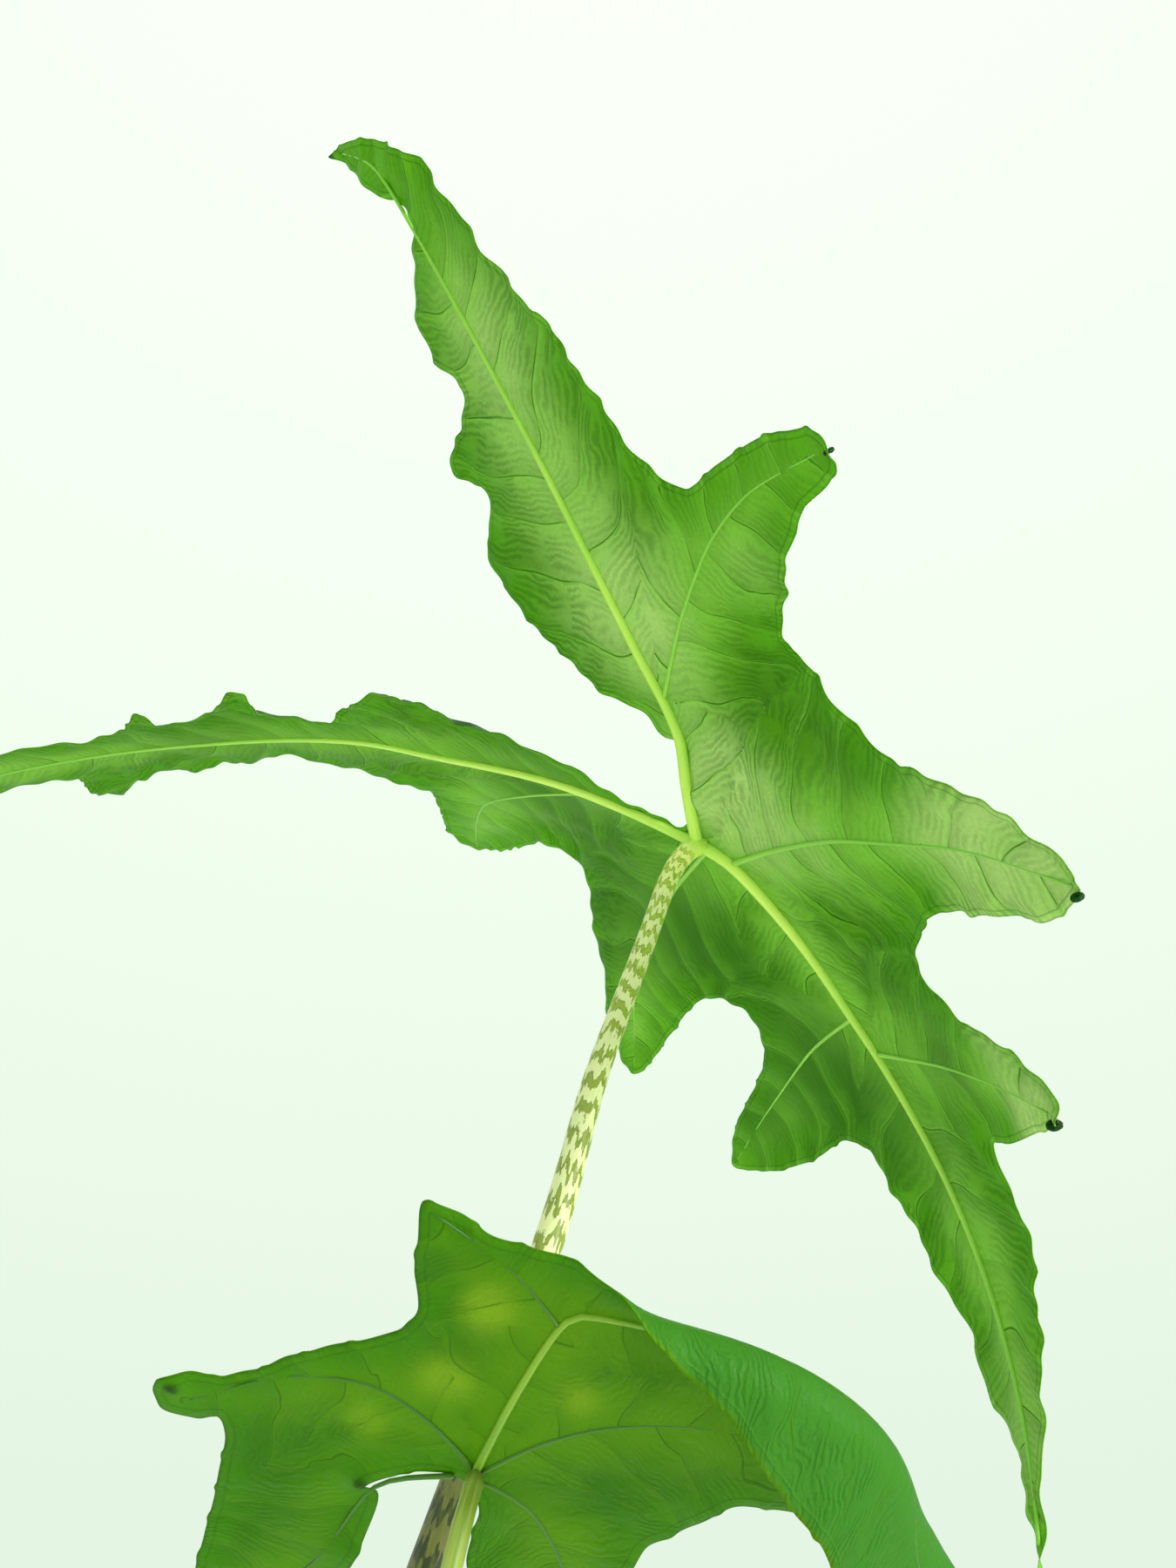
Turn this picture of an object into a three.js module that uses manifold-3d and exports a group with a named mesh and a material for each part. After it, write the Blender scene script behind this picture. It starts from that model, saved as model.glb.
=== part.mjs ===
// Potted alocasia: a plain pot, its soil and corm, two leaf stalks with lobed
// blades, a rolled young leaf and a papery sheath. Millimetres, +Z up, +Y away
// from the viewer. The origin is the centre of the pot's foot.
import * as THREE from 'three';
import Module from 'manifold-3d';

// ---- driving sizes ---------------------------------------------------------
const POT_RADIUS = 81;        // outside of the rim
const POT_HEIGHT = 142;
const POT_WALL = 2.4;
const RIM_HEIGHT = 14;
const RIM_OVERHANG = 4;       // how far the rim band stands out of the wall
const FOOT_RADIUS = 57;
const DRAIN_RADIUS = 5;
const DRAIN_RING = 36;
const DRAIN_COUNT = 6;
const SOIL_DEPTH_BELOW_RIM = 20;
const FIT_GAP = 0.35;         // air left between pieces that touch in life
const CORM_RADIUS = 19;
const CORM_ABOVE_SOIL = 15;
const BLADE_THICKNESS = 0.9;
const UPPER_STALK_BASE = 9.0; // radii of the stalks
const UPPER_STALK_TOP = 2.9;
const LOWER_STALK_BASE = 4.2;
const LOWER_STALK_TOP = 1.7;
const LEAF_SCALE = 1;         // scales both blades about their stalk tops

const SOIL_TOP = POT_HEIGHT - SOIL_DEPTH_BELOW_RIM;
const CORM_TOP = SOIL_TOP + CORM_ABOVE_SOIL;
const ROUND_SIDES = 40;       // facets round the corm and its pocket in the soil

// ---- small helpers ---------------------------------------------------------
const DEG = Math.PI / 180;
const mix = (a, b, t) => a + (b - a) * t;

function smooth(t) {
  const c = Math.min(1, Math.max(0, t));
  return c * c * (3 - 2 * c);
}

// A strip of length s bent to an even curvature: how far along, how far down.
function arc(s, curvature) {
  const k = Math.abs(curvature) < 1e-6 ? 1e-6 : curvature;
  return [Math.sin(k * s) / k, -(1 - Math.cos(k * s)) / k];
}

function material(name, color, roughness) {
  return new THREE.MeshStandardMaterial({ name, color, roughness, metalness: 0 });
}

function lathe(profile, segments) {
  const points = profile.map(([r, z]) => new THREE.Vector2(r, z));
  const geometry = new THREE.LatheGeometry(points, segments);
  geometry.rotateX(Math.PI / 2);
  return geometry;
}

const group = new THREE.Group();
group.name = 'potted_alocasia';

function add(name, geometry, look) {
  const mesh = new THREE.Mesh(geometry, look);
  mesh.name = name;
  group.add(mesh);
  return mesh;
}

// ---- solids for cutting ----------------------------------------------------
const wasm = await Module();
wasm.setup();

function toManifold(geometry) {
  const source = geometry.index ? geometry.toNonIndexed() : geometry;
  const position = source.attributes.position;
  const keys = new Map();
  const vertices = [];
  const triangles = [];
  for (let i = 0; i < position.count; i += 3) {
    const corner = [0, 1, 2].map((c) => {
      const p = [position.getX(i + c), position.getY(i + c), position.getZ(i + c)];
      const key = p.map((value) => Math.round(value * 1e4)).join(' ');
      if (!keys.has(key)) {
        keys.set(key, vertices.length / 3);
        vertices.push(...p);
      }
      return keys.get(key);
    });
    if (corner[0] !== corner[1] && corner[1] !== corner[2] && corner[0] !== corner[2]) {
      triangles.push(...corner);
    }
  }
  return new wasm.Manifold(new wasm.Mesh({
    numProp: 3,
    vertProperties: new Float32Array(vertices),
    triVerts: new Uint32Array(triangles),
  }));
}

function fromManifold(solid) {
  const mesh = solid.getMesh();
  const geometry = new THREE.BufferGeometry();
  geometry.setAttribute('position', new THREE.BufferAttribute(mesh.vertProperties, 3));
  geometry.setIndex(new THREE.BufferAttribute(mesh.triVerts, 1));
  return geometry;
}

// ---- pot -------------------------------------------------------------------
// The wall leans out in a straight line from the foot to the rim band.
const wallTop = POT_HEIGHT - RIM_HEIGHT;
const wallRadius = (z) => mix(FOOT_RADIUS + 1, POT_RADIUS - RIM_OVERHANG, z / wallTop);
const bandInside = POT_RADIUS - POT_WALL;
const potInside = (z) => (z < wallTop - 2 ? wallRadius(z) - POT_WALL : bandInside);

const potProfile = [
  [0, 0],
  [FOOT_RADIUS - 1, 0],
  [FOOT_RADIUS + 0.6, 1.5],
  [wallRadius(wallTop), wallTop],
  [POT_RADIUS - 0.8, wallTop],
  [POT_RADIUS, wallTop + 0.8],
  [POT_RADIUS, POT_HEIGHT - 1.2],
  [POT_RADIUS - 1.2, POT_HEIGHT],
  [bandInside, POT_HEIGHT - 0.4],
  [bandInside, wallTop + POT_WALL],
  [wallRadius(wallTop) - POT_WALL, wallTop - 0.5],
  [wallRadius(4) - POT_WALL, 4],
  [wallRadius(3) - POT_WALL - 1.2, 3],
  [0, 3],
];
let pot = toManifold(lathe(potProfile, 60));
for (let i = 0; i < DRAIN_COUNT; i += 1) {
  const angle = (i / DRAIN_COUNT) * 2 * Math.PI;
  const drill = new THREE.CylinderGeometry(DRAIN_RADIUS, DRAIN_RADIUS, 12, 20);
  drill.rotateX(Math.PI / 2);
  drill.translate(DRAIN_RING * Math.cos(angle), DRAIN_RING * Math.sin(angle), 1);
  pot = pot.subtract(toManifold(drill));
}
add('pot', fromManifold(pot), material('pot', 0x74777a, 0.6));

// ---- corm and soil ---------------------------------------------------------
// The corm stands in a pocket of the soil; both share one profile.
const cormRings = [
  [0.45, SOIL_TOP - 44],
  [0.82, SOIL_TOP - 34],
  [1.0, SOIL_TOP - 18],
  [0.98, SOIL_TOP - 4],
  [0.93, SOIL_TOP + 4],
  [0.9, CORM_TOP - 3],
  [0.8, CORM_TOP],
].map(([share, z]) => [share * CORM_RADIUS, z]);
const cormBottom = cormRings[0][1] - 3;
const cormProfile = [[0, cormBottom], ...cormRings, [0, CORM_TOP]];
add('corm', lathe(cormProfile, ROUND_SIDES), material('corm', 0x6b5137, 0.9));

const soilBottom = 3 + FIT_GAP + 0.3;
const soilEdge = (z) => potInside(z) - FIT_GAP;
const pocket = cormRings.filter(([, z]) => z < SOIL_TOP).map(([r, z]) => [r + FIT_GAP, z]);
const soilProfile = [
  [0, soilBottom],
  [soilEdge(5) - 2, soilBottom],
  [soilEdge(5), 5.5],
  [soilEdge(SOIL_TOP - 3), SOIL_TOP - 3],
  [soilEdge(SOIL_TOP - 3) - 5, SOIL_TOP - 1],
  [55, SOIL_TOP + 0.6],
  [40, SOIL_TOP - 0.6],
  [28, SOIL_TOP + 1.5],
  [CORM_RADIUS + FIT_GAP, SOIL_TOP + 0.5],
  ...pocket.slice().reverse(),
  [0, cormBottom - FIT_GAP],
];
add('soil', lathe(soilProfile, ROUND_SIDES), material('soil', 0x2d2119, 1));

// ---- stalks ----------------------------------------------------------------
// A round tapering stalk along a smooth path, closed at both ends, with its
// foot cut level so that it stands on the corm.
function stalk(path, radiusAt, sides, steps) {
  const curve = new THREE.CatmullRomCurve3(path.map((p) => new THREE.Vector3(...p)), false, 'centripetal');
  const circle = new THREE.Shape();
  circle.absarc(0, 0, 1, 0, 2 * Math.PI, false);
  const geometry = new THREE.ExtrudeGeometry(circle, {
    steps,
    curveSegments: sides,
    bevelEnabled: false,
    extrudePath: curve,
  });
  // Each ring of the unit tube is moved out to its own radius.
  const centres = curve.getSpacedPoints(steps);
  const position = geometry.attributes.position;
  const point = new THREE.Vector3();
  for (let i = 0; i < position.count; i += 1) {
    point.fromBufferAttribute(position, i);
    let nearest = 0;
    centres.forEach((centre, k) => {
      if (centre.distanceToSquared(point) < centres[nearest].distanceToSquared(point)) nearest = k;
    });
    const centre = centres[nearest];
    point.sub(centre).multiplyScalar(radiusAt(nearest / steps)).add(centre);
    position.setXYZ(i, point.x, point.y, point.z);
  }
  const block = new THREE.BoxGeometry(200, 200, 200);
  block.translate(0, 0, CORM_TOP + FIT_GAP - 100);
  return fromManifold(toManifold(geometry).subtract(toManifold(block)));
}

// Everything that grows from the corm is placed by its height above the corm's top.
const aboveCorm = ([x, y, rise]) => [x, y, CORM_TOP + rise];
const UPPER_TOP = aboveCorm([135.4, 12.8, 549.1]);
const LOWER_TOP = aboveCorm([79.3, -39.5, 365]);

const UPPER_FOOT = [-4, 2];
const upperPath = [
  [...UPPER_FOOT, -12], [...UPPER_FOOT, 22], [1, 2, 88], [16, 4, 173], [41, 6.5, 273],
  [70, 8, 364], [91, 7, 424], [102, 9, 466], [117.4, 14, 513], [124, 15, 533],
  [128.6, 14.2, 542.6], [133.2, 12.6, 545.4],
].map(aboveCorm);
const upperRadius = (t) => {
  const slim = mix(UPPER_STALK_BASE, UPPER_STALK_TOP, smooth(t));
  return slim * (1 + 0.12 * smooth((t - 0.93) / 0.07));
};
add('petiole_upper', stalk(upperPath, upperRadius, 12, 40), material('petiole_upper', 0xa9ad67, 0.45));

const lowerPath = [
  [9, -9.5, -12], [9.5, -11, 30], [16, -18, 78], [30, -30, 153], [48, -40, 228],
  [66, -46.5, 298], [77, -47, 350], [78.9, -43.2, 360], [79.2, -41.6, 362.8],
].map(aboveCorm);
const lowerRadius = (t) => mix(LOWER_STALK_BASE, LOWER_STALK_TOP, t);
add('petiole_lower', stalk(lowerPath, lowerRadius, 10, 32), material('petiole_lower', 0x9fb64e, 0.45));

// A young leaf still rolled up stands in front of the thick stalk, just clear
// of the sheath.
const SHEATH_PLAY = 0.7;      // between the thick stalk's foot and the sheath
const SHEATH_WALL = 0.8;
const SPEAR_RADIUS = 2.8;
const sheathInner = UPPER_STALK_BASE + SHEATH_PLAY;
const spearY = UPPER_FOOT[1] - sheathInner - SHEATH_WALL - SPEAR_RADIUS - 2 * FIT_GAP;
const spearPath = [
  [-3, spearY, -12], [-4, spearY - 0.5, 12], [-7, spearY - 3, 50], [-12, spearY - 6, 88],
].map(aboveCorm);
const spearRadius = (t) => SPEAR_RADIUS * (1 - 0.7 * smooth((t - 0.45) / 0.55));
add('young_leaf', stalk(spearPath, spearRadius, 10, 16), material('young_leaf', 0x86b34c, 0.5));

// ---- sheath ----------------------------------------------------------------
// A thin open sleeve of dry scale leaf around the thick stalk's foot.
function sheath(centre, inner, wall, low, high, openAngle) {
  const outline = new THREE.Shape();
  const start = openAngle / 2;
  const end = 2 * Math.PI - openAngle / 2;
  outline.absarc(0, 0, inner + wall, start, end, false);
  outline.absarc(0, 0, inner, end, start, true);
  outline.closePath();
  const geometry = new THREE.ExtrudeGeometry(outline, {
    depth: high - low,
    steps: 4,
    curveSegments: 20,
    bevelEnabled: false,
  });
  geometry.rotateZ(Math.PI * 0.85);
  geometry.translate(centre[0], centre[1], low);
  return geometry;
}
add(
  'sheath',
  sheath(UPPER_FOOT, sheathInner, SHEATH_WALL, CORM_TOP + FIT_GAP, CORM_TOP + 24, 130 * DEG),
  material('sheath', 0x9a7b4f, 0.8),
);

// ---- blades ----------------------------------------------------------------
// Each blade is drawn flat in its own leaf plane: u runs from the stalk towards
// the front tip, v towards the leaf's right as seen from above. A leaf is then
// bent by its own shape function and placed by three directions.

const SPREAD = 8; // keeps the two rear lobes of the large leaf apart when flat

const upperOutline = [
  // right rear lobe, from the sinus out to its tip and back along its outer side
  [-7, 0], [-8, 9], [-16, 18], [-27, 23.5], [-35, 21], [-43, 20], [-55, 13], [-78, 5], [-101, 1],
  [-117, 2], [-126, 15],
  [-134, 19], [-146, 10], [-151, 15], [-152, 27], [-160, 38], [-173, 33], [-186, 37], [-197, 51],
  [-201, 62], [-212, 60], [-222, 53], [-239, 48], [-246.5, 44.5], [-242, 54], [-230, 66], [-206, 81],
  [-182, 83], [-159, 85], [-133, 90], [-112, 89], [-90, 90], [-75, 98],
  // its side lobe
  [-70, 118], [-63, 140], [-53, 156], [-45, 157], [-44, 145], [-45, 130], [-41, 115], [-33, 98],
  [-25, 91],
  // right side lobes one and two
  [-10, 100], [8, 109], [18, 126], [32, 138], [47, 146], [56, 142], [60, 127], [54, 107],
  [50, 86], [57, 68], [67, 59], [79, 65], [92, 81], [103, 90], [110, 87], [112, 76], [115, 60],
  [115, 48],
  // front lobe
  [124, 48], [140, 50], [163, 44], [184, 39], [202, 36], [212, 36], [228, 37], [213, 32], [200, 25],
  [180, 7], [155, -8], [135, -17], [116, -24], [110, -34],
  // left side lobes two and one
  [115, -57], [116, -85], [111, -104], [98, -95], [84, -70], [74, -53], [60, -49], [49, -55],
  [46, -73], [53, -103], [61, -134], [54, -140], [38, -133], [20, -117], [3, -113], [-11, -105],
  [-24, -100],
  // left rear lobe: its side lobe, outer side, tip and inner side
  [-35, -108], [-40, -128], [-45, -151], [-55, -171], [-67, -164], [-76, -128], [-83, -109],
  [-101, -109], [-121, -105], [-132, -101], [-154, -122], [-168, -134], [-184, -141],
  [-198, -172], [-206, -156], [-209, -132], [-222, -133], [-236, -134], [-252, -124],
  [-266, -112], [-250, -96], [-236, -87], [-227, -83], [-211, -83], [-200, -83], [-190, -75],
  [-184, -56], [-177, -68], [-164, -60], [-156, -32], [-151, -34], [-144, -51], [-131, -53],
  [-124, -48], [-117, -22], [-107, -10], [-95, -12], [-81, -14], [-64, -11], [-45, -12], [-24, -10],
  [-11, -4],
];

const upperRibs = [
  {
    width: 6.0,
    height: 3.0,
    path: [[0, 0], [14, 5], [44, 3], [71, 1], [102, 6], [137, 15], [186, 28], [216, 35]],
  },
  {
    width: 5.5,
    height: 2.6,
    path: [[0, 0], [-14, 15], [-40, 32], [-78, 42], [-127, 52], [-182, 59], [-224, 60], [-247, 46]],
  },
  {
    width: 5.5,
    height: 2.6,
    path: [
      [0, 0], [-17, -11], [-41, -27], [-83, -56], [-114, -66], [-165, -94], [-209, -106], [-258, -110],
    ],
  },
  { width: 3.2, height: 1.4, path: [[12, 6], [16, 40], [22, 75], [36, 116], [54, 142]] },
  { width: 3.2, height: 1.4, path: [[4, -5], [8, -38], [18, -80], [36, -110], [57, -136]] },
  { width: 3.0, height: 1.2, path: [[86, 4], [92, 40], [100, 67], [109, 86]] },
  { width: 3.0, height: 1.2, path: [[73, 0], [79, -30], [95, -71], [110, -102]] },
  { width: 3.0, height: 1.2, path: [[-41, 34], [-53, 62], [-60, 92], [-59, 120], [-49, 154]] },
  { width: 3.0, height: 1.2, path: [[-37, -25], [-52, -62], [-62, -96], [-60, -134], [-54, -168]] },
];

// The large leaf arches down in front of the stalk in two stretches; the right
// rear lobe lifts and curls in, the left one droops.
const FRONT = { length: 120, nearBend: 0.00497, farBend: 0.0055 };

function upperShape(u, v) {
  const side = v >= 0 ? 1 : -1;
  const right = side > 0;
  const back = Math.max(-u, 0);
  const ahead = Math.max(u, 0);
  const front = smooth((u + 30) / 60);
  const across = side * v - SPREAD * smooth(back / 60);
  const tilt = mix(right ? 0.24 : 0.12, right ? -0.147 : -0.143, front);
  const curl = mix(right ? 0.00298 : 0.00012, right ? -0.00022 : 0.00047, front);
  const [flatY, flatZ] = arc(across, curl);
  const y = flatY * Math.cos(tilt) - flatZ * Math.sin(tilt);
  const z = flatY * Math.sin(tilt) + flatZ * Math.cos(tilt);
  let x;
  let drop;
  let turn;
  if (u >= 0) {
    const near = Math.min(ahead, FRONT.length);
    const far = Math.max(ahead - FRONT.length, 0);
    const [x1, z1] = arc(near, FRONT.nearBend);
    const [x2, z2] = arc(far, FRONT.farBend);
    const turn1 = near * FRONT.nearBend;
    x = x1 + x2 * Math.cos(turn1) + z2 * Math.sin(turn1);
    drop = z1 - x2 * Math.sin(turn1) + z2 * Math.cos(turn1);
    turn = turn1 + far * FRONT.farBend;
  } else {
    const bend = right ? -0.00047 : 0.00405;
    const pitch = (right ? -0.279 : 0.064) * smooth(back / 30);
    const [xb, zb] = arc(back, bend);
    x = -(xb * Math.cos(pitch) + zb * Math.sin(pitch));
    drop = -xb * Math.sin(pitch) + zb * Math.cos(pitch);
    turn = -(bend * back + pitch);
  }
  return [x + z * Math.sin(turn), side * y, drop + z * Math.cos(turn)];
}

const lowerOutline = [
  // left rear lobe, from the sinus
  [-3, 0.5], [-5, 7], [-9, 12], [-13, 16], [-17, 12], [-29, 10], [-37, 9.5], [-52, 12],
  [-63, 18], [-69, 27], [-56, 34], [-43, 37], [-33, 39], [-25, 41], [-17, 43], [-13, 46],
  // left side lobe with its blunt curled tip
  [-16, 49], [-16, 56], [-10, 59], [-6, 55], [-4, 49], [1, 44], [7, 40], [14, 33], [22, 26], [28, 25],
  // small top lobe
  [35, 29], [42, 31.5], [49, 34], [50, 28], [49, 22], [50, 16], [52, 9], [54.5, 1],
  // front lobe, folded over towards the viewer
  [60, -8], [67, -18], [75, -31], [78, -47], [73, -67], [59, -85], [42, -96], [24, -108],
  [8, -117], [12, -106], [15, -95], [17, -84], [22, -70], [25, -58], [24, -50], [20, -43],
  [9, -38], [2, -35],
  // right rear lobe
  [-8, -36], [-20, -40], [-31, -42], [-29, -22], [-23, -10], [-14, -6.5], [-7, -4.5],
];

const lowerRibs = [
  {
    width: 3.2,
    height: 1.5,
    path: [[0, 0], [21, 2], [40, 2], [45, -5], [49, -18], [56, -40], [50, -70], [28, -105]],
  },
  { width: 2.4, height: 1.0, path: [[38, 2.5], [44, 14], [48, 32]] },
  { width: 2.6, height: 1.1, path: [[1, 1], [6, 12], [8, 25], [2, 39], [-12, 52]] },
  { width: 2.6, height: 1.1, path: [[1, -1], [13, -7], [23, -15], [31, -26], [36, -37]] },
  { width: 2.4, height: 1.0, path: [[-1, -2], [-2, -12], [-9, -22], [-26, -37]] },
  { width: 2.4, height: 1.0, path: [[-3, 3], [-14, 14], [-39, 16], [-64, 26]] },
];

// The small leaf is nearly flat, and folds over along a round line in front.
const FOLD = { u: -7, v: -34, radius: 57.3, zone: 16, angle: 150 * DEG };

function lowerShape(u, v) {
  const du = u - FOLD.u;
  const dv = v - FOLD.v;
  const far = Math.hypot(du, dv);
  const azimuth = Math.atan2(dv, du) / DEG;
  const share = smooth((38 - azimuth) / 22) * smooth((azimuth + 125) / 30);
  const dent = 4.8 * Math.exp(-(((azimuth + 37) / 14) ** 2));
  const radius = FOLD.radius - dent;
  const over = Math.max(far - radius, 0);
  const curvature = (FOLD.angle * share) / FOLD.zone;
  const inZone = Math.min(over, FOLD.zone);
  const [along, lift] = arc(inZone, curvature);
  const turn = curvature * inZone;
  const rest = over - inZone;
  const reach = Math.min(far, radius) + along + rest * Math.cos(turn);
  const sink = lift - rest * Math.sin(turn);
  const ratio = far > 1e-6 ? reach / far : 1;
  const side = 0.0012 * (v - 8) * (v - 8) * smooth((v - 8) / 20);
  return [FOLD.u + du * ratio, FOLD.v + dv * ratio, sink - side];
}

// ---- flat meshing of a blade -----------------------------------------------
function insidePolygon(x, y, polygon) {
  let inside = false;
  for (let i = 0, j = polygon.length - 1; i < polygon.length; j = i, i += 1) {
    const [xi, yi] = polygon[i];
    const [xj, yj] = polygon[j];
    if (yi > y !== yj > y && x < ((xj - xi) * (y - yi)) / (yj - yi) + xi) inside = !inside;
  }
  return inside;
}

function distanceToPath(x, y, path, closed) {
  let best = Infinity;
  const last = closed ? path.length : path.length - 1;
  for (let i = 0; i < last; i += 1) {
    const [ax, ay] = path[i];
    const [bx, by] = path[(i + 1) % path.length];
    const dx = bx - ax;
    const dy = by - ay;
    const share = ((x - ax) * dx + (y - ay) * dy) / (dx * dx + dy * dy);
    const t = Math.min(1, Math.max(0, share));
    best = Math.min(best, Math.hypot(x - ax - t * dx, y - ay - t * dy));
  }
  return best;
}

// Points no further apart than the given step, on a polyline.
function evenPoints(path, step, closed) {
  const result = [];
  const last = closed ? path.length : path.length - 1;
  for (let i = 0; i < last; i += 1) {
    const [ax, ay] = path[i];
    const [bx, by] = path[(i + 1) % path.length];
    const count = Math.max(1, Math.round(Math.hypot(bx - ax, by - ay) / step));
    for (let k = 0; k < count; k += 1) {
      result.push([mix(ax, bx, k / count), mix(ay, by, k / count)]);
    }
  }
  if (!closed) result.push(path[path.length - 1]);
  return result;
}

// Plain incremental Delaunay triangulation of scattered points.
function delaunay(points) {
  const n = points.length;
  const big = 1e5;
  const all = [...points, [-big, -big], [big, -big], [0, big]];
  const circle = (a, b, c) => {
    const [ax, ay] = all[a];
    const [bx, by] = all[b];
    const [cx, cy] = all[c];
    const d = 2 * (ax * (by - cy) + bx * (cy - ay) + cx * (ay - by));
    const a2 = ax * ax + ay * ay;
    const b2 = bx * bx + by * by;
    const c2 = cx * cx + cy * cy;
    const x = (a2 * (by - cy) + b2 * (cy - ay) + c2 * (ay - by)) / d;
    const y = (a2 * (cx - bx) + b2 * (ax - cx) + c2 * (bx - ax)) / d;
    return { corners: [a, b, c], x, y, r2: (ax - x) ** 2 + (ay - y) ** 2 };
  };
  let triangles = [circle(n, n + 1, n + 2)];
  for (let i = 0; i < n; i += 1) {
    const [px, py] = points[i];
    const edges = new Map();
    const kept = [];
    triangles.forEach((triangle) => {
      if ((px - triangle.x) ** 2 + (py - triangle.y) ** 2 >= triangle.r2) {
        kept.push(triangle);
        return;
      }
      const [a, b, c] = triangle.corners;
      [[a, b], [b, c], [c, a]].forEach(([s, e]) => {
        const back = `${e} ${s}`;
        if (edges.has(back)) edges.delete(back);
        else edges.set(`${s} ${e}`, [s, e]);
      });
    });
    edges.forEach(([s, e]) => kept.push(circle(s, e, i)));
    triangles = kept;
  }
  return triangles.map((triangle) => triangle.corners).filter((corners) => corners.every((c) => c < n));
}

// ---- one blade as a closed thin solid --------------------------------------
function blade({ outline, ribs, shape, spacing, place }) {
  const border = evenPoints(outline, spacing, true);
  const points = [...border];
  const clear = (x, y, gap) => points.every(([px, py]) => Math.hypot(px - x, py - y) > gap);
  // Rows of points along each rib and beside it carry the rib's relief.
  ribs.forEach((rib) => {
    evenPoints(rib.path, spacing, false).forEach(([x, y]) => {
      const room = distanceToPath(x, y, outline, true) > spacing * 0.35;
      if (insidePolygon(x, y, outline) && room && clear(x, y, spacing * 0.3)) points.push([x, y]);
    });
  });
  const rowHeight = spacing * Math.sqrt(0.75);
  const us = outline.map(([u]) => u);
  const vs = outline.map(([, v]) => v);
  let odd = false;
  for (let y = Math.min(...vs); y < Math.max(...vs); y += rowHeight) {
    for (let x = Math.min(...us) + (odd ? spacing / 2 : 0); x < Math.max(...us); x += spacing) {
      const room = distanceToPath(x, y, outline, true) > spacing * 0.5;
      // A hair of shift keeps four points from lying on one circle.
      const nudge = 0.02 * spacing * Math.sin(x * 1.7 + y * 2.3);
      if (room && insidePolygon(x, y, outline) && clear(x, y, spacing * 0.62)) points.push([x + nudge, y]);
    }
    odd = !odd;
  }
  const faces = delaunay(points).filter((corners) => {
    const x = corners.reduce((sum, c) => sum + points[c][0], 0) / 3;
    const y = corners.reduce((sum, c) => sum + points[c][1], 0) / 3;
    return insidePolygon(x, y, border);
  });

  // Relief of the ribs on the under side, fading towards their tips.
  const relief = (u, v) => {
    let height = 0;
    ribs.forEach((rib) => {
      const gap = distanceToPath(u, v, rib.path, false);
      const start = rib.path[0];
      const end = rib.path[rib.path.length - 1];
      const length = Math.hypot(end[0] - start[0], end[1] - start[1]);
      const fade = 1 - 0.8 * Math.min(1, Math.hypot(u - start[0], v - start[1]) / length);
      height = Math.max(height, rib.height * fade * Math.max(0, 1 - gap / rib.width));
    });
    return height;
  };
  const bent = (u, v) => new THREE.Vector3(...shape(u, v)).multiplyScalar(LEAF_SCALE);
  const step = 0.5;
  const vertices = [];
  const half = BLADE_THICKNESS / 2;
  points.forEach(([u, v]) => {
    // Steps away from the midline keep the slope on the vertex's own side.
    const sv = v >= 0 ? step : -step;
    const su = u >= 0 ? step : -step;
    const p = bent(u, v);
    const alongU = bent(u + su, v).sub(p).multiplyScalar(Math.sign(su));
    const alongV = bent(u, v + sv).sub(p).multiplyScalar(Math.sign(sv));
    const up = new THREE.Vector3().crossVectors(alongU, alongV).normalize();
    vertices.push(p.clone().addScaledVector(up, half));
    vertices.push(p.clone().addScaledVector(up, -half - relief(u, v)));
  });
  const index = [];
  const open = new Map();
  faces.forEach(([a, b, c]) => {
    const [ax, ay] = points[a];
    const [bx, by] = points[b];
    const [cx, cy] = points[c];
    const turn = (bx - ax) * (cy - ay) - (by - ay) * (cx - ax);
    const [p, q, r] = turn > 0 ? [a, b, c] : [a, c, b];
    index.push(2 * p, 2 * q, 2 * r, 2 * p + 1, 2 * r + 1, 2 * q + 1);
    [[p, q], [q, r], [r, p]].forEach(([s, e]) => {
      if (open.has(`${e} ${s}`)) open.delete(`${e} ${s}`);
      else open.set(`${s} ${e}`, [s, e]);
    });
  });
  open.forEach(([s, e]) => {
    index.push(2 * s, 2 * s + 1, 2 * e + 1, 2 * s, 2 * e + 1, 2 * e);
  });

  // Leaf frame to part frame: u and v directions and the blade's upper normal.
  const { at, forward, right, up } = place;
  const positions = [];
  vertices.forEach((p) => {
    [0, 1, 2].forEach((axis) => {
      positions.push(at[axis] + p.x * forward[axis] + p.y * right[axis] + p.z * up[axis]);
    });
  });
  const geometry = new THREE.BufferGeometry();
  geometry.setAttribute('position', new THREE.Float32BufferAttribute(positions, 3));
  geometry.setIndex(index);
  return geometry;
}

// Directions of a leaf: forward along u, and the upper normal; v completes them.
function directions(at, forwardHint, upHint) {
  const forward = new THREE.Vector3(...forwardHint).normalize();
  const up = new THREE.Vector3(...upHint);
  up.addScaledVector(forward, -up.dot(forward)).normalize();
  const right = new THREE.Vector3().crossVectors(forward, up).normalize();
  return { at, forward: forward.toArray(), right: right.toArray(), up: up.toArray() };
}

function flipped(geometry) {
  const index = geometry.index.array;
  for (let i = 0; i < index.length; i += 3) {
    [index[i + 1], index[i + 2]] = [index[i + 2], index[i + 1]];
  }
  return geometry;
}

// u, v and the upper normal make a left-handed set, so the faces are turned.
add('blade_upper', flipped(blade({
  outline: upperOutline,
  ribs: upperRibs,
  shape: upperShape,
  spacing: 12,
  place: directions(UPPER_TOP, [0.77, 0.413, -0.487], [0.575, -0.119, 0.809]),
})), material('blade_upper', 0x5fa61e, 0.45));

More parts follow.
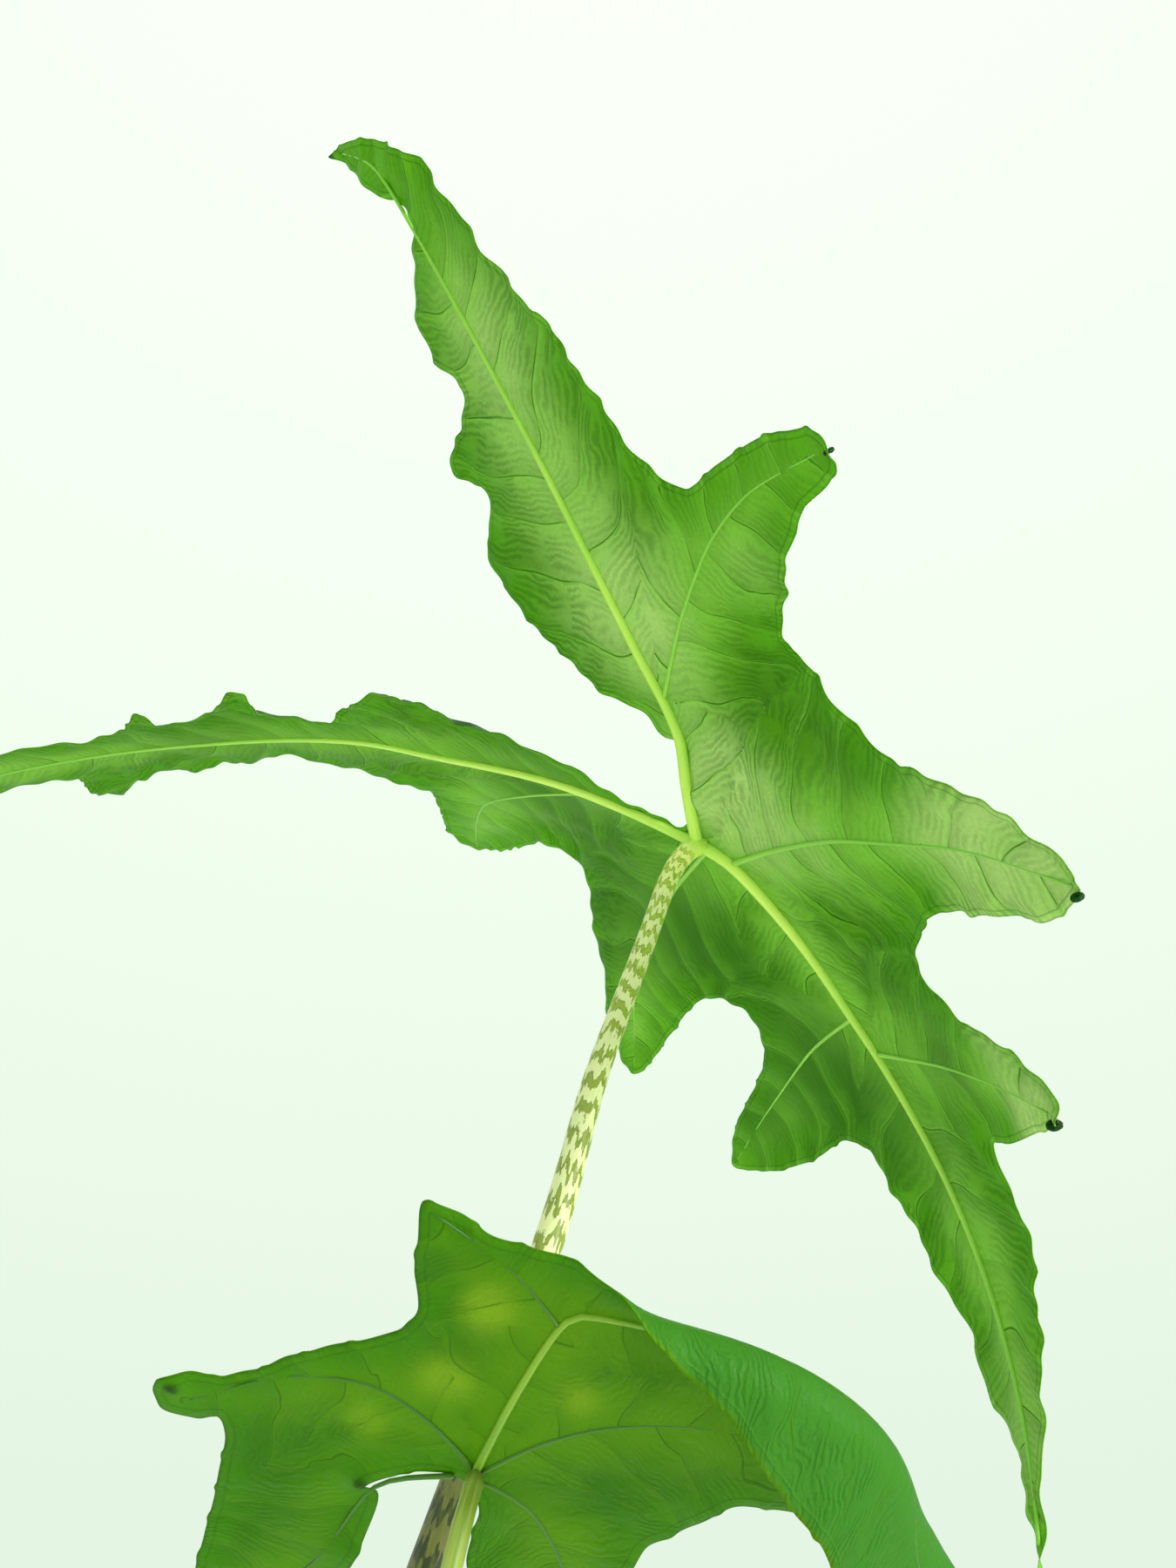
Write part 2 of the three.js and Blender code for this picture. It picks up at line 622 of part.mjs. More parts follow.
add('blade_lower', flipped(blade({
  outline: lowerOutline,
  ribs: lowerRibs,
  shape: lowerShape,
  spacing: 6,
  place: directions(LOWER_TOP, [0.471, -0.778, 0.416], [0.1, 0.515, 0.851]),
})), material('blade_lower', 0x4b8f1c, 0.45));

export default group;
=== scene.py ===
# %% [markdown]
# # A potted alocasia, seen from below
# The plant is one large lobed leaf and one small one on long stalks, rising
# from a corm in a plain pot. The CAD model is loaded first and never changed.
# Its pieces show only where nothing finer is built here to stand for them.

# %% Load the frame
import math
import random

import bpy
import numpy as np
from mathutils import Euler, Matrix, Vector, noise
from mathutils.geometry import delaunay_2d_cdt


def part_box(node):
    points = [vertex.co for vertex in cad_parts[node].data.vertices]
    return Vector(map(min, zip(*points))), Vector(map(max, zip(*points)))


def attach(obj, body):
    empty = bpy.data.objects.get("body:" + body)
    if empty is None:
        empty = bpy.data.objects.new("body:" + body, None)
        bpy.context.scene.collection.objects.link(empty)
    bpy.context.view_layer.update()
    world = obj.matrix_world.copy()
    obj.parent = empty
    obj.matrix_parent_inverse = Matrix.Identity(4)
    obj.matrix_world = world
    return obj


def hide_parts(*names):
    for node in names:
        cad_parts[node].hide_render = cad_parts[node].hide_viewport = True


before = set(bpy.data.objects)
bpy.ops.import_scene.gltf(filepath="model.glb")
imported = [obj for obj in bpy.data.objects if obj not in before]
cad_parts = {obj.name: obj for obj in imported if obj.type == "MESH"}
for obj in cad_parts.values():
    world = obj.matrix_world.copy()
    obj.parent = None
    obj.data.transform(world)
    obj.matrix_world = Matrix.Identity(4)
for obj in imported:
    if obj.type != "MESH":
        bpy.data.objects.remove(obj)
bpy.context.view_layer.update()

MM = 0.001

# %% [markdown]
# ## Camera
# The view is from below the leaves, looking up at them. The wide lens is close
# to the plant, so near lobes look larger than far ones. The lens is given
# against the frame's tall side, and the camera tilts up about its own
# right-hand axis.

# %% Camera
CAMERA_AT = (0.100, -0.285, 0.460)
CAMERA_PITCH = math.radians(40)
LENS_MM = 27.04
TALL_SIDE_MM = 36.0

scene = bpy.context.scene
camera_data = bpy.data.cameras.new("viewer")
camera_data.sensor_fit = "VERTICAL"
camera_data.sensor_height = TALL_SIDE_MM
camera_data.lens = LENS_MM
camera_data.clip_start = 0.01
camera = bpy.data.objects.new("viewer", camera_data)
scene.collection.objects.link(camera)
camera.location = CAMERA_AT
camera.rotation_euler = (math.radians(90) + CAMERA_PITCH, 0, 0)
scene.camera = camera
print("camera at", CAMERA_AT, "pitched up", round(math.degrees(CAMERA_PITCH)), "degrees")

# %% [markdown]
# ## Small helpers
# `smooth` eases between 0 and 1, and `arc` bends a flat strip to an even
# curve. Both work on whole arrays, because a leaf has thousands of points.
# `joined` and `finish_piece` are the last steps of most pieces.

# %% Helpers for curves
def smooth(t):
    """Ease from 0 to 1."""
    t = np.clip(t, 0.0, 1.0)
    return t * t * (3 - 2 * t)


def between(start, end, share):
    """A value part of the way from one number to another."""
    return start + (end - start) * share


def arc(length, curvature):
    """A strip bent evenly: how far along it reaches, and how far it sinks."""
    k = np.where(np.abs(curvature) < 1e-6, 1e-6, curvature)
    return np.sin(k * length) / k, -(1 - np.cos(k * length)) / k


def rounded(points, step, closed):
    """Points about a step apart on a smooth curve through the given points."""
    p = np.array(points, float)
    n = len(p)
    out = []
    for i in range(n if closed else n - 1):
        if closed:
            a, b, c, d = p[i - 1], p[i], p[(i + 1) % n], p[(i + 2) % n]
        else:
            a, b, c, d = p[max(i - 1, 0)], p[i], p[i + 1], p[min(i + 2, n - 1)]
        count = max(1, int(round(np.linalg.norm(c - b) / step)))
        t = (np.arange(count) / count)[:, None]
        m0, m1 = (c - a) * 0.42, (d - b) * 0.42
        out.append(
            (2 * t**3 - 3 * t**2 + 1) * b
            + (t**3 - 2 * t**2 + t) * m0
            + (-2 * t**3 + 3 * t**2) * c
            + (t**3 - t**2) * m1
        )
    if not closed:
        out.append(p[-1:])
    return np.concatenate(out)


def nearest_on(path, points, closed=False):
    """Distance of each point to a path, how far along it, and on which side."""
    a = path
    b = np.roll(path, -1, axis=0)
    if not closed:
        a, b = a[:-1], b[:-1]
    step = b - a
    length = np.linalg.norm(step, axis=1)
    start = np.concatenate([[0.0], np.cumsum(length)[:-1]])
    gap = np.full(len(points), np.inf)
    along = np.zeros(len(points))
    side = np.zeros(len(points))
    for i in range(len(a)):
        away = points - a[i]
        t = np.clip(away @ step[i] / length[i] ** 2, 0, 1)
        rest = away - t[:, None] * step[i]
        d = np.hypot(rest[:, 0], rest[:, 1])
        closer = d < gap
        gap = np.where(closer, d, gap)
        along = np.where(closer, start[i] + t * length[i], along)
        turn = step[i, 0] * away[:, 1] - step[i, 1] * away[:, 0]
        side = np.where(closer, np.sign(turn), side)
    return gap, along, side


# %% Helpers for pieces
def deselect():
    bpy.ops.object.select_all(action="DESELECT")


def select_only(pieces):
    """Select these pieces and nothing else; the first is the active one."""
    deselect()
    for piece in pieces:
        piece.select_set(True)
    bpy.context.view_layer.objects.active = pieces[0]


def joined(pieces, name):
    """Several pieces made into one."""
    select_only(pieces)
    bpy.ops.object.join()
    piece = bpy.context.object
    piece.name = name
    return piece


def finish_piece(piece, node, look):
    """Material and body for a piece that stands for a CAD node, whose own piece is hidden."""
    piece.data.materials.clear()
    piece.data.materials.append(look)
    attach(piece, "root")
    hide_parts(node)
    mesh = piece.data
    print(piece.name, "has", len(mesh.vertices), "points and", len(mesh.polygons), "faces")


# %% [markdown]
# ## How each leaf is drawn
# A leaf is easiest to draw flat. `u` runs from the stalk to the front tip and
# `v` to the leaf's right as seen from above, in millimetres. The outline goes
# round once, and each rib is a line from the stalk towards a lobe's tip.

# %% The large leaf, flat
SPREAD = 8.0

upper_outline = [
    (-7, 0), (-8, 9), (-16, 18), (-27, 23.5), (-35, 21), (-43, 20), (-55, 13), (-78, 5), (-101, 1),
    (-117, 2), (-126, 15),
    (-134, 19), (-146, 10), (-151, 15), (-152, 27), (-160, 38), (-173, 33), (-186, 37), (-197, 51),
    (-201, 62), (-212, 60), (-222, 53), (-239, 48), (-246.5, 44.5), (-242, 54), (-230, 66),
    (-206, 81), (-182, 83), (-159, 85), (-133, 90), (-112, 89), (-90, 90), (-75, 98),
    (-70, 118), (-63, 140), (-53, 156), (-45, 157), (-44, 145), (-45, 130), (-41, 115), (-33, 98),
    (-25, 91),
    (-10, 100), (8, 109), (18, 126), (32, 138), (47, 146), (56, 142), (60, 127), (54, 107),
    (50, 86), (57, 68), (67, 59), (79, 65), (92, 81), (103, 90), (110, 87), (112, 76), (115, 60),
    (115, 48),
    (124, 48), (140, 50), (163, 44), (184, 39), (202, 36), (212, 36), (228, 37), (213, 32),
    (200, 25), (180, 7), (155, -8), (135, -17), (116, -24), (110, -34),
    (115, -57), (116, -85), (111, -104), (98, -95), (84, -70), (74, -53), (60, -49), (49, -55),
    (46, -73), (53, -103), (61, -134), (54, -140), (38, -133), (20, -117), (3, -113), (-11, -105),
    (-24, -100),
    (-35, -108), (-40, -128), (-45, -151), (-55, -171), (-67, -164), (-76, -128), (-83, -109),
    (-101, -109), (-121, -105), (-132, -101), (-154, -122), (-168, -134), (-184, -141),
    (-198, -172), (-206, -156), (-209, -132), (-222, -133), (-236, -134), (-252, -124),
    (-266, -112), (-250, -96), (-236, -87), (-227, -83), (-211, -83), (-200, -83), (-190, -75),
    (-184, -56), (-177, -68), (-164, -60), (-156, -32), (-151, -34), (-144, -51), (-131, -53),
    (-124, -48), (-117, -20), (-108, -6), (-95, -10), (-81, -14), (-64, -11), (-45, -12),
    (-24, -10), (-11, -4),
]
# Each rib: its thickness at the root and tip, and its line.
upper_ribs = [
    (4.9, 1.0, [(0, 0), (14, 5), (44, 3), (71, 1), (102, 6), (137, 15), (186, 28), (216, 35)]),
    (4.3, 0.8, [
        (0, 0), (-14, 15.5), (-40, 32), (-78, 42), (-127, 52), (-182, 59), (-224, 60), (-247, 46),
    ]),
    (4.2, 0.8, [
        (0, 0), (-17, -11), (-41, -27), (-83, -56), (-114, -66), (-165, -94),
        (-209, -106), (-258, -110),
    ]),
    (2.4, 0.4, [(12, 5), (16, 40), (22, 75), (36, 116), (54, 142)]),
    (2.0, 0.3, [(4, -2), (8, -38), (18, -80), (36, -110), (57, -136)]),
    (1.8, 0.3, [(86, 4), (92, 40), (100, 67), (109, 86)]),
    (1.6, 0.3, [(73, 1), (79, -30), (95, -71), (110, -102)]),
    (1.9, 0.3, [(-41, 33), (-53, 62), (-60, 92), (-59, 120), (-49, 154)]),
    (1.6, 0.3, [(-37, -25), (-52, -62), (-62, -96), (-60, -134), (-54, -168)]),
]
print("large leaf:", len(upper_outline), "outline points,", len(upper_ribs), "ribs")

# %% The small leaf, flat
lower_outline = [
    (-3, 0.5), (-5, 7), (-9, 12), (-13, 16), (-17, 12), (-29, 10), (-37, 9.5), (-52, 12),
    (-63, 18), (-69, 27), (-56, 34), (-43, 37), (-33, 39), (-25, 41), (-17, 43), (-13, 46),
    (-16, 49), (-16, 56), (-10, 59), (-6, 55), (-4, 49), (1, 44), (7, 40), (14, 33),
    (22, 26), (28, 25),
    (35, 29), (42, 31.5), (49, 34), (50, 28), (49, 22), (50, 16), (52, 9), (54.5, 1),
    (60, -8), (67, -18), (75, -31), (78, -47), (73, -67), (59, -85), (42, -96), (24, -108),
    (8, -117), (12, -106), (15, -95), (17, -84), (22, -70), (25, -58), (24, -50), (20, -43),
    (9, -38), (2, -35),
    (-8, -36), (-20, -40), (-31, -42), (-29, -22), (-23, -10), (-14, -6.5), (-7, -4.5),
]
lower_ribs = [
    (1.9, 0.5, [(0, 0), (21, 2), (40, 2), (45, -5), (49, -18), (56, -40), (50, -70), (28, -105)]),
    (1.1, 0.35, [(38, 2), (44, 14), (48, 32)]),
    (1.2, 0.35, [(1, 1), (6, 12), (8, 25), (2, 39), (-12, 52)]),
    (1.2, 0.35, [(1, -1), (13, -7), (23, -15), (31, -26), (36, -37)]),
    (1.1, 0.35, [(-1, -2), (-2, -12), (-9, -22), (-26, -37)]),
    (1.1, 0.35, [(-3, 3), (-14, 14), (-39, 16), (-64, 26)]),
]
print("small leaf:", len(lower_outline), "outline points,", len(lower_ribs), "ribs")

# %% [markdown]
# ## How each leaf is bent
# The large leaf arches down in front of its stalk while its right rear lobe
# lifts. The small leaf is nearly flat, and its front folds over towards the
# viewer along a round line. A bend rolls the flat leaf up along an arc, so the
# blade keeps its size, as real tissue does.

# %% Bending the large leaf
FRONT_LENGTH, NEAR_BEND, FAR_BEND = 120, 0.00497, 0.0055
# Sideways slope and curvature of each half, first behind the stalk, then in front.
RIGHT_TILT, LEFT_TILT = (0.24, -0.147), (0.12, -0.143)
RIGHT_CURL, LEFT_CURL = (0.00298, -0.00022), (0.00012, 0.00047)
# Curvature and slope of the rear lobes, first the right one, then the left one.
REAR_BENDS, REAR_SLOPES = (-0.00047, 0.00405), (-0.279, 0.064)


def bend_large(u, v, right_side):
    """Flat millimetres to bent millimetres: forward, rightward and upward."""
    side = np.where(right_side, 1.0, -1.0)
    back, ahead = np.maximum(-u, 0), np.maximum(u, 0)
    front = smooth((u + 30) / 60)
    across = side * v - SPREAD * smooth(back / 60)
    tilt = np.where(right_side, between(*RIGHT_TILT, front), between(*LEFT_TILT, front))
    curl = np.where(right_side, between(*RIGHT_CURL, front), between(*LEFT_CURL, front))
    flat_y, flat_z = arc(across, curl)
    y = flat_y * np.cos(tilt) - flat_z * np.sin(tilt)
    z = flat_y * np.sin(tilt) + flat_z * np.cos(tilt)
    # In front the leaf bends down in two stretches.
    near, far = np.minimum(ahead, FRONT_LENGTH), np.maximum(ahead - FRONT_LENGTH, 0)
    x1, z1 = arc(near, NEAR_BEND)
    x2, z2 = arc(far, FAR_BEND)
    turn1 = near * NEAR_BEND
    x_front = x1 + x2 * np.cos(turn1) + z2 * np.sin(turn1)
    z_front = z1 - x2 * np.sin(turn1) + z2 * np.cos(turn1)
    turn_front = turn1 + far * FAR_BEND
    # Behind the stalk each lobe has its own slope and bend.
    bend = np.where(right_side, *REAR_BENDS)
    pitch = np.where(right_side, *REAR_SLOPES) * smooth(back / 30)
    xb, zb = arc(back, bend)
    x_back = -(xb * np.cos(pitch) + zb * np.sin(pitch))
    z_back = -xb * np.sin(pitch) + zb * np.cos(pitch)
    turn_back = -(bend * back + pitch)
    ahead_of = u >= 0
    x = np.where(ahead_of, x_front, x_back)
    drop = np.where(ahead_of, z_front, z_back)
    turn = np.where(ahead_of, turn_front, turn_back)
    return np.stack([x + z * np.sin(turn), side * y, drop + z * np.cos(turn)], axis=1)


# %% Bending the small leaf
FOLD_U, FOLD_V, FOLD_RADIUS, FOLD_ZONE = -7.0, -34.0, 57.3, 16.0
FOLD_ANGLE = math.radians(150)
DENT_DEPTH, DENT_AZIMUTH, DENT_WIDTH = 4.8, -37, 14


def bend_small(u, v, right_side):
    """The small leaf: its front rolls over beyond a circle in the flat leaf."""
    du, dv = u - FOLD_U, v - FOLD_V
    far = np.hypot(du, dv)
    azimuth = np.degrees(np.arctan2(dv, du))
    share = smooth((38 - azimuth) / 22) * smooth((azimuth + 125) / 30)
    dent = np.exp(-(((azimuth - DENT_AZIMUTH) / DENT_WIDTH) ** 2))
    radius = FOLD_RADIUS - DENT_DEPTH * dent
    over = np.maximum(far - radius, 0)
    curvature = FOLD_ANGLE * share / FOLD_ZONE
    in_zone = np.minimum(over, FOLD_ZONE)
    along, lift = arc(in_zone, curvature)
    turn = curvature * in_zone
    rest = over - in_zone
    reach = np.minimum(far, radius) + along + rest * np.cos(turn)
    sink = lift - rest * np.sin(turn)
    ratio = reach / np.maximum(far, 1e-6)
    droop = 0.0012 * (v - 8) ** 2 * smooth((v - 8) / 20)
    return np.stack([FOLD_U + du * ratio, FOLD_V + dv * ratio, sink - droop], axis=1)


# %% Placing a leaf on its stalk
def directions(forward_hint, up_hint):
    """Forward, rightward and upward directions of a leaf."""
    forward = Vector(forward_hint).normalized()
    up = Vector(up_hint)
    up = (up - forward * up.dot(forward)).normalized()
    return np.array([forward, forward.cross(up).normalized(), up])


NUDGE = 0.4  # a short step, in millimetres, for finding a bent leaf's directions


def place_and_normal(bend, flat, right_side):
    """Where flat points lie on the bent leaf, and which way its upper side faces."""
    u, v = flat[:, 0], flat[:, 1]
    place = bend(u, v, right_side)
    along_u = bend(u + NUDGE, v, right_side) - place
    along_v = bend(u, v + NUDGE, right_side) - place
    normal = np.cross(along_u, along_v)
    return place, normal / np.linalg.norm(normal, axis=1)[:, None]


CORM_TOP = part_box("corm")[1][2] / MM
UPPER_TOP = np.array([135.4, 12.8, CORM_TOP + 549.1])
LOWER_TOP = np.array([79.3, -39.5, CORM_TOP + 365.0])
upper_axes = directions((0.77, 0.413, -0.487), (0.575, -0.119, 0.809))
lower_axes = directions((0.471, -0.778, 0.416), (0.1, 0.515, 0.851))
print("large leaf faces", upper_axes[2].round(2), "and the small leaf", lower_axes[2].round(2))

# %% [markdown]
# ## From a flat outline to a blade
# No primitive has this outline, so the blade is triangulated from its outline
# and an even field of points inside. Each point then learns how far it is from
# the ribs, the margin and the lobe tips. These numbers shape the quilting and
# the wavy margin, and the leaf's finish reads them to draw the veins, so that
# the veins always follow the ribs.

# %% Triangulating a flat blade
def flat_mesh(outline, spacing):
    """Points and triangles of the flat leaf, its margin smooth and finely cut."""
    border = rounded(outline, spacing * 0.6, True)
    ahead = np.roll(border, -1, axis=0) - np.roll(border, 1, axis=0)
    outward = np.stack([-ahead[:, 1], ahead[:, 0]], axis=1)
    outward /= np.linalg.norm(outward, axis=1)[:, None]
    x, y = border[:, 0], border[:, 1]
    area = np.sum(x * np.roll(y, -1) - y * np.roll(x, -1))
    length = np.concatenate([[0], np.cumsum(np.linalg.norm(np.diff(border, axis=0), axis=1))])
    beat = np.sin(length / spacing * 0.62 + 1.9 * np.sin(length / spacing * 0.11))
    border = border - np.sign(area) * outward * (0.33 * spacing * np.maximum(beat, 0) ** 5)[:, None]
    low, high = border.min(axis=0), border.max(axis=0)
    rows = np.arange(low[1], high[1], spacing * math.sqrt(0.75))
    field = []
    for number, y in enumerate(rows):
        xs = np.arange(low[0], high[0], spacing) + (spacing / 2 if number % 2 else 0)
        field.append(np.stack([xs, np.full_like(xs, y)], axis=1))
    field = np.concatenate(field)
    inside = np.zeros(len(field), bool)
    ends = np.roll(border, -1, axis=0)
    for (ax, ay), (bx, by) in zip(border, ends):
        if ay == by:
            continue
        crosses = (ay > field[:, 1]) != (by > field[:, 1])
        at = (bx - ax) * (field[:, 1] - ay) / (by - ay) + ax
        inside ^= crosses & (field[:, 0] < at)
    gap, _, _ = nearest_on(border, field, True)
    field = field[inside & (gap > spacing * 0.55)]
    points = np.concatenate([border, field])
    n = len(border)
    edges = [(i, (i + 1) % n) for i in range(n)]
    corners, _, faces, _, _, _ = delaunay_2d_cdt([Vector(p) for p in points], edges, [], 1, 1e-5)
    return np.array([tuple(c) for c in corners]), np.array(faces), border


# %% Measuring each point against ribs, margin and tips
def leaf_fields(points, faces, border, ribs):
    """Distances to ribs and margin, and a count of side veins along each rib."""
    lines = [rounded(line, 4.0, False) for _, _, line in ribs]
    gaps, alongs, _ = zip(*(nearest_on(line, points) for line in lines))
    gaps, alongs = np.array(gaps), np.array(alongs)
    middle = points[faces].mean(axis=1)
    face_gaps, _, face_sides = zip(*(nearest_on(line, middle) for line in lines))
    face_gaps, face_sides = np.array(face_gaps), np.array(face_sides)
    edge_gap, edge_along, _ = nearest_on(border, points, True)
    return {
        "gaps": gaps, "alongs": alongs, "face_rib": face_gaps.argmin(axis=0),
        "face_side": face_sides[face_gaps.argmin(axis=0), np.arange(len(middle))],
        "rib": gaps.argmin(axis=0), "rib_gap": gaps.min(axis=0),
        "meeting": np.sort(gaps, axis=0)[1] - gaps.min(axis=0),
        "edge_gap": edge_gap, "edge_along": edge_along,
    }


def vein_count(gap, along, side, pitch):
    """Whole numbers of this mark the side veins, which sweep towards the tip."""
    return (along - 0.38 * gap - 0.008 * gap**2) / pitch + 0.5 * (side > 0) + 40


# %% [markdown]
# ## Building one blade
# The sheet bulges up between its side veins, which gives the quilted look from
# below, and its margin ripples. Both sides are laid out from the same points,
# half a thickness either way, and joined round the margin. The ribs are round
# tapering cords that lie half sunk in the under side.

# %% Relief of the sheet
def margin_ripple(along, gap):
    """A long and a short wave along the margin, which fade out 14 mm inside it."""
    swell = 0.65 + 0.35 * np.sin(0.017 * along + 2)
    long_wave = np.sin(0.23 * along + 1.7 * np.sin(0.031 * along))
    short_wave = np.sin(0.57 * along + 2.1 * np.sin(0.07 * along))
    near_edge = 1 - smooth(gap / 14)
    return near_edge**1.4 * (swell * long_wave + 0.4 * short_wave)


def sheet_relief(u, v, f, pitch, quilt):
    """Fields bulging between side veins, puckers beside them, and a broad heave."""
    gap, along = f["rib_gap"], f["alongs"][f["rib"], np.arange(len(u))]
    count = vein_count(gap, along, np.ones(len(u)), pitch)
    calm = smooth(gap / 9) * smooth(f["meeting"] / 8) * smooth(f["edge_gap"] / 7)
    outer = smooth((gap / pitch - 0.35) / 1.2)
    bulge = (0.25 + 0.75 * outer) * np.sin(math.pi * count) ** 2
    drift = 0.5 * np.sin(u / (0.9 * pitch) + 1.2) * np.sin(v / pitch)
    pucker = (0.1 + 0.9 * outer) * np.sin(6 * math.pi * (count + 0.35 * drift))
    scale = 23.0 / pitch
    heave_u = np.sin(u * scale / 15 + 1.4 * np.sin(v * scale / 21))
    heave_v = np.sin(v * scale / 17 + 1.1 * np.sin(u * scale / 25))
    return quilt * calm * (bulge + 0.9 * heave_u * heave_v + 0.16 * pucker)


# %% Two sides and a rim
def closed_faces(points, faces):
    """Faces that look up, and the rim between an upper and a lower copy of the points."""
    a, b, c = points[faces[:, 0]], points[faces[:, 1]], points[faces[:, 2]]
    turn = (b[:, 0] - a[:, 0]) * (c[:, 1] - a[:, 1]) - (b[:, 1] - a[:, 1]) * (c[:, 0] - a[:, 0])
    faces = np.where((turn > 0)[:, None], faces, faces[:, ::-1])
    open_edges = {}
    for face in faces:
        for start, end in ((face[0], face[1]), (face[1], face[2]), (face[2], face[0])):
            if (end, start) in open_edges:
                del open_edges[(end, start)]
            else:
                open_edges[(start, end)] = True
    n = len(points)
    return faces, [(start, end, end + n, start + n) for start, end in open_edges]


# %% What a blade remembers for its finish
def remember(mesh, label, values, kind="FLOAT"):
    """Keep one value for each point, the same on both sides."""
    layer = mesh.attributes.new(label, kind, "POINT")
    key = "vector" if kind == "FLOAT_VECTOR" else "value"
    layer.data.foreach_set(key, np.concatenate([values, values]).ravel())


def remember_veins(mesh, faces, rim, f, pitch):
    """Keep the vein count at each corner, because it jumps from one rib's area to the next."""
    rib = f["face_rib"][:, None]
    side = f["face_side"][:, None]
    counts = vein_count(f["gaps"][rib, faces], f["alongs"][rib, faces], side, pitch)
    layer = mesh.attributes.new("vein", "FLOAT", "CORNER")
    rim_counts = np.zeros(4 * len(rim))
    layer.data.foreach_set(
        "value", np.concatenate([counts[:, ::-1].ravel(), counts.ravel(), rim_counts])
    )


# %% The sheet
HALF_THICKNESS = 0.26


def build_blade(name, outline, ribs, bend, top, axes, spacing, pitch, ripple, quilt, curls, tones_and_painted_shading):
    points, faces, border = flat_mesh(outline, spacing)
    f = leaf_fields(points, faces, border, ribs)
    u, v = points[:, 0], points[:, 1]
    n = len(points)

    lift = sheet_relief(u, v, f, pitch, quilt)
    lift = lift + ripple * margin_ripple(f["edge_along"], f["edge_gap"])
    tip = np.zeros(n)
    for tip_u, tip_v, radius, depth in curls:
        near = np.clip(1 - np.hypot(u - tip_u, v - tip_v) / radius, 0, 1)
        lift = lift - depth * near**1.6
        tip = np.maximum(tip, near)
    # Soft patches of tone: painted light and shade on the large leaf; on the small leaf the pale ones
    # are its own yellowish blotches.
    tone_and_painted_shading = np.zeros(n)
    for tone_u, tone_v, radius, share in tones_and_painted_shading:
        tone_and_painted_shading = tone_and_painted_shading + share * np.exp(-((u - tone_u) ** 2 + (v - tone_v) ** 2) / radius**2)

    place, normal = place_and_normal(bend, points, v >= 0)
    place = place + normal * lift[:, None]
    half = HALF_THICKNESS * np.minimum(1, 0.5 + f["edge_gap"] / 3)[:, None]
    sheets = np.concatenate([place + normal * half, place - normal * half])
    world = (sheets @ axes + top) * MM
    faces, rim = closed_faces(points, faces)
    mesh = bpy.data.meshes.new(name)
    mesh.from_pydata(world.tolist(), [], [*faces[:, ::-1].tolist(), *(faces + n).tolist(), *rim])
    mesh.update()

    for label in ("rib_gap", "edge_gap", "meeting"):
        remember(mesh, label, f[label])
    remember(mesh, "tip", tip)
    remember(mesh, "tone_and_painted_shading", tone_and_painted_shading)
    remember(mesh, "flat", np.stack([u, v, np.zeros(n)], axis=1), "FLOAT_VECTOR")
    under = mesh.attributes.new("under", "FLOAT", "POINT")
    under.data.foreach_set("value", np.concatenate([np.zeros(n), np.ones(n)]))
    remember_veins(mesh, faces, rim, f, pitch)

    piece = bpy.data.objects.new(name, mesh)
    scene.collection.objects.link(piece)
    mesh.shade_smooth()
    return piece


# %% Ribs as tapering cords
def cord(name, path, radii, sides):
    """A round cord along a path of points in metres, its ends closed."""
    deselect()
    bpy.ops.curve.primitive_bezier_curve_add()
    piece = bpy.context.object
    piece.name = name
    piece.location = (0, 0, 0)
    data = piece.data
    data.splines.clear()
    spline = data.splines.new("POLY")
    spline.points.add(len(path) - 1)
    for point, place, radius in zip(spline.points, path, radii):
        point.co = (*place, 1)
        point.radius = radius
    data.dimensions = "3D"
    data.twist_mode = "MINIMUM"
    data.bevel_depth = 1.0
    data.bevel_resolution = sides // 4 - 1 if sides >= 8 else 1
    data.use_fill_caps = True
    bpy.ops.object.convert(target="MESH")
    piece = bpy.context.object
    select_only([piece])
    bpy.ops.object.mode_set(mode="EDIT")
    bpy.ops.mesh.select_all(action="SELECT")
    bpy.ops.mesh.remove_doubles(threshold=1e-6)
    bpy.ops.mesh.normals_make_consistent(inside=False)
    bpy.ops.object.mode_set(mode="OBJECT")
    piece.data.shade_smooth()
    return piece


# %% All ribs of a leaf
SIDE_RIB_REACH = 0.7  # side ribs start almost as green as a main rib's tip


def build_ribs(name, ribs, bend, top, axes, sink, main):
    """All ribs of one leaf, lying in the under side of the blade."""
    made = []
    for number, (thick, thin, line) in enumerate(ribs):
        path = rounded(line, 3.0, False)
        right_side = np.full(len(path), np.mean(path[:, 1]) >= 0)
        place, normal = place_and_normal(bend, path, right_side)
        t = np.linspace(0, 1, len(path))
        width = thick + (thin - thick) * t**0.75
        place = place - normal * (width * sink)[:, None]
        world = (place @ axes + top) * MM
        piece = cord(f"{name}_{number}", world.tolist(), (width / 2 * MM).tolist(), 12)
        own = np.array([tuple(vertex.co) for vertex in piece.data.vertices])
        near = np.linalg.norm(own[:, None] - world[None], axis=2).argmin(axis=1)
        layer = piece.data.attributes.new("reach", "FLOAT", "POINT")
        start = 0.0 if number < main else SIDE_RIB_REACH
        layer.data.foreach_set("value", start + (1 - start) * t[near])
        made.append(piece)
    return joined(made, name)


# %% [markdown]
# ## Finishes
# Materials are node networks. A small helper adds nodes and joins them, so each
# finish below reads as a short recipe.

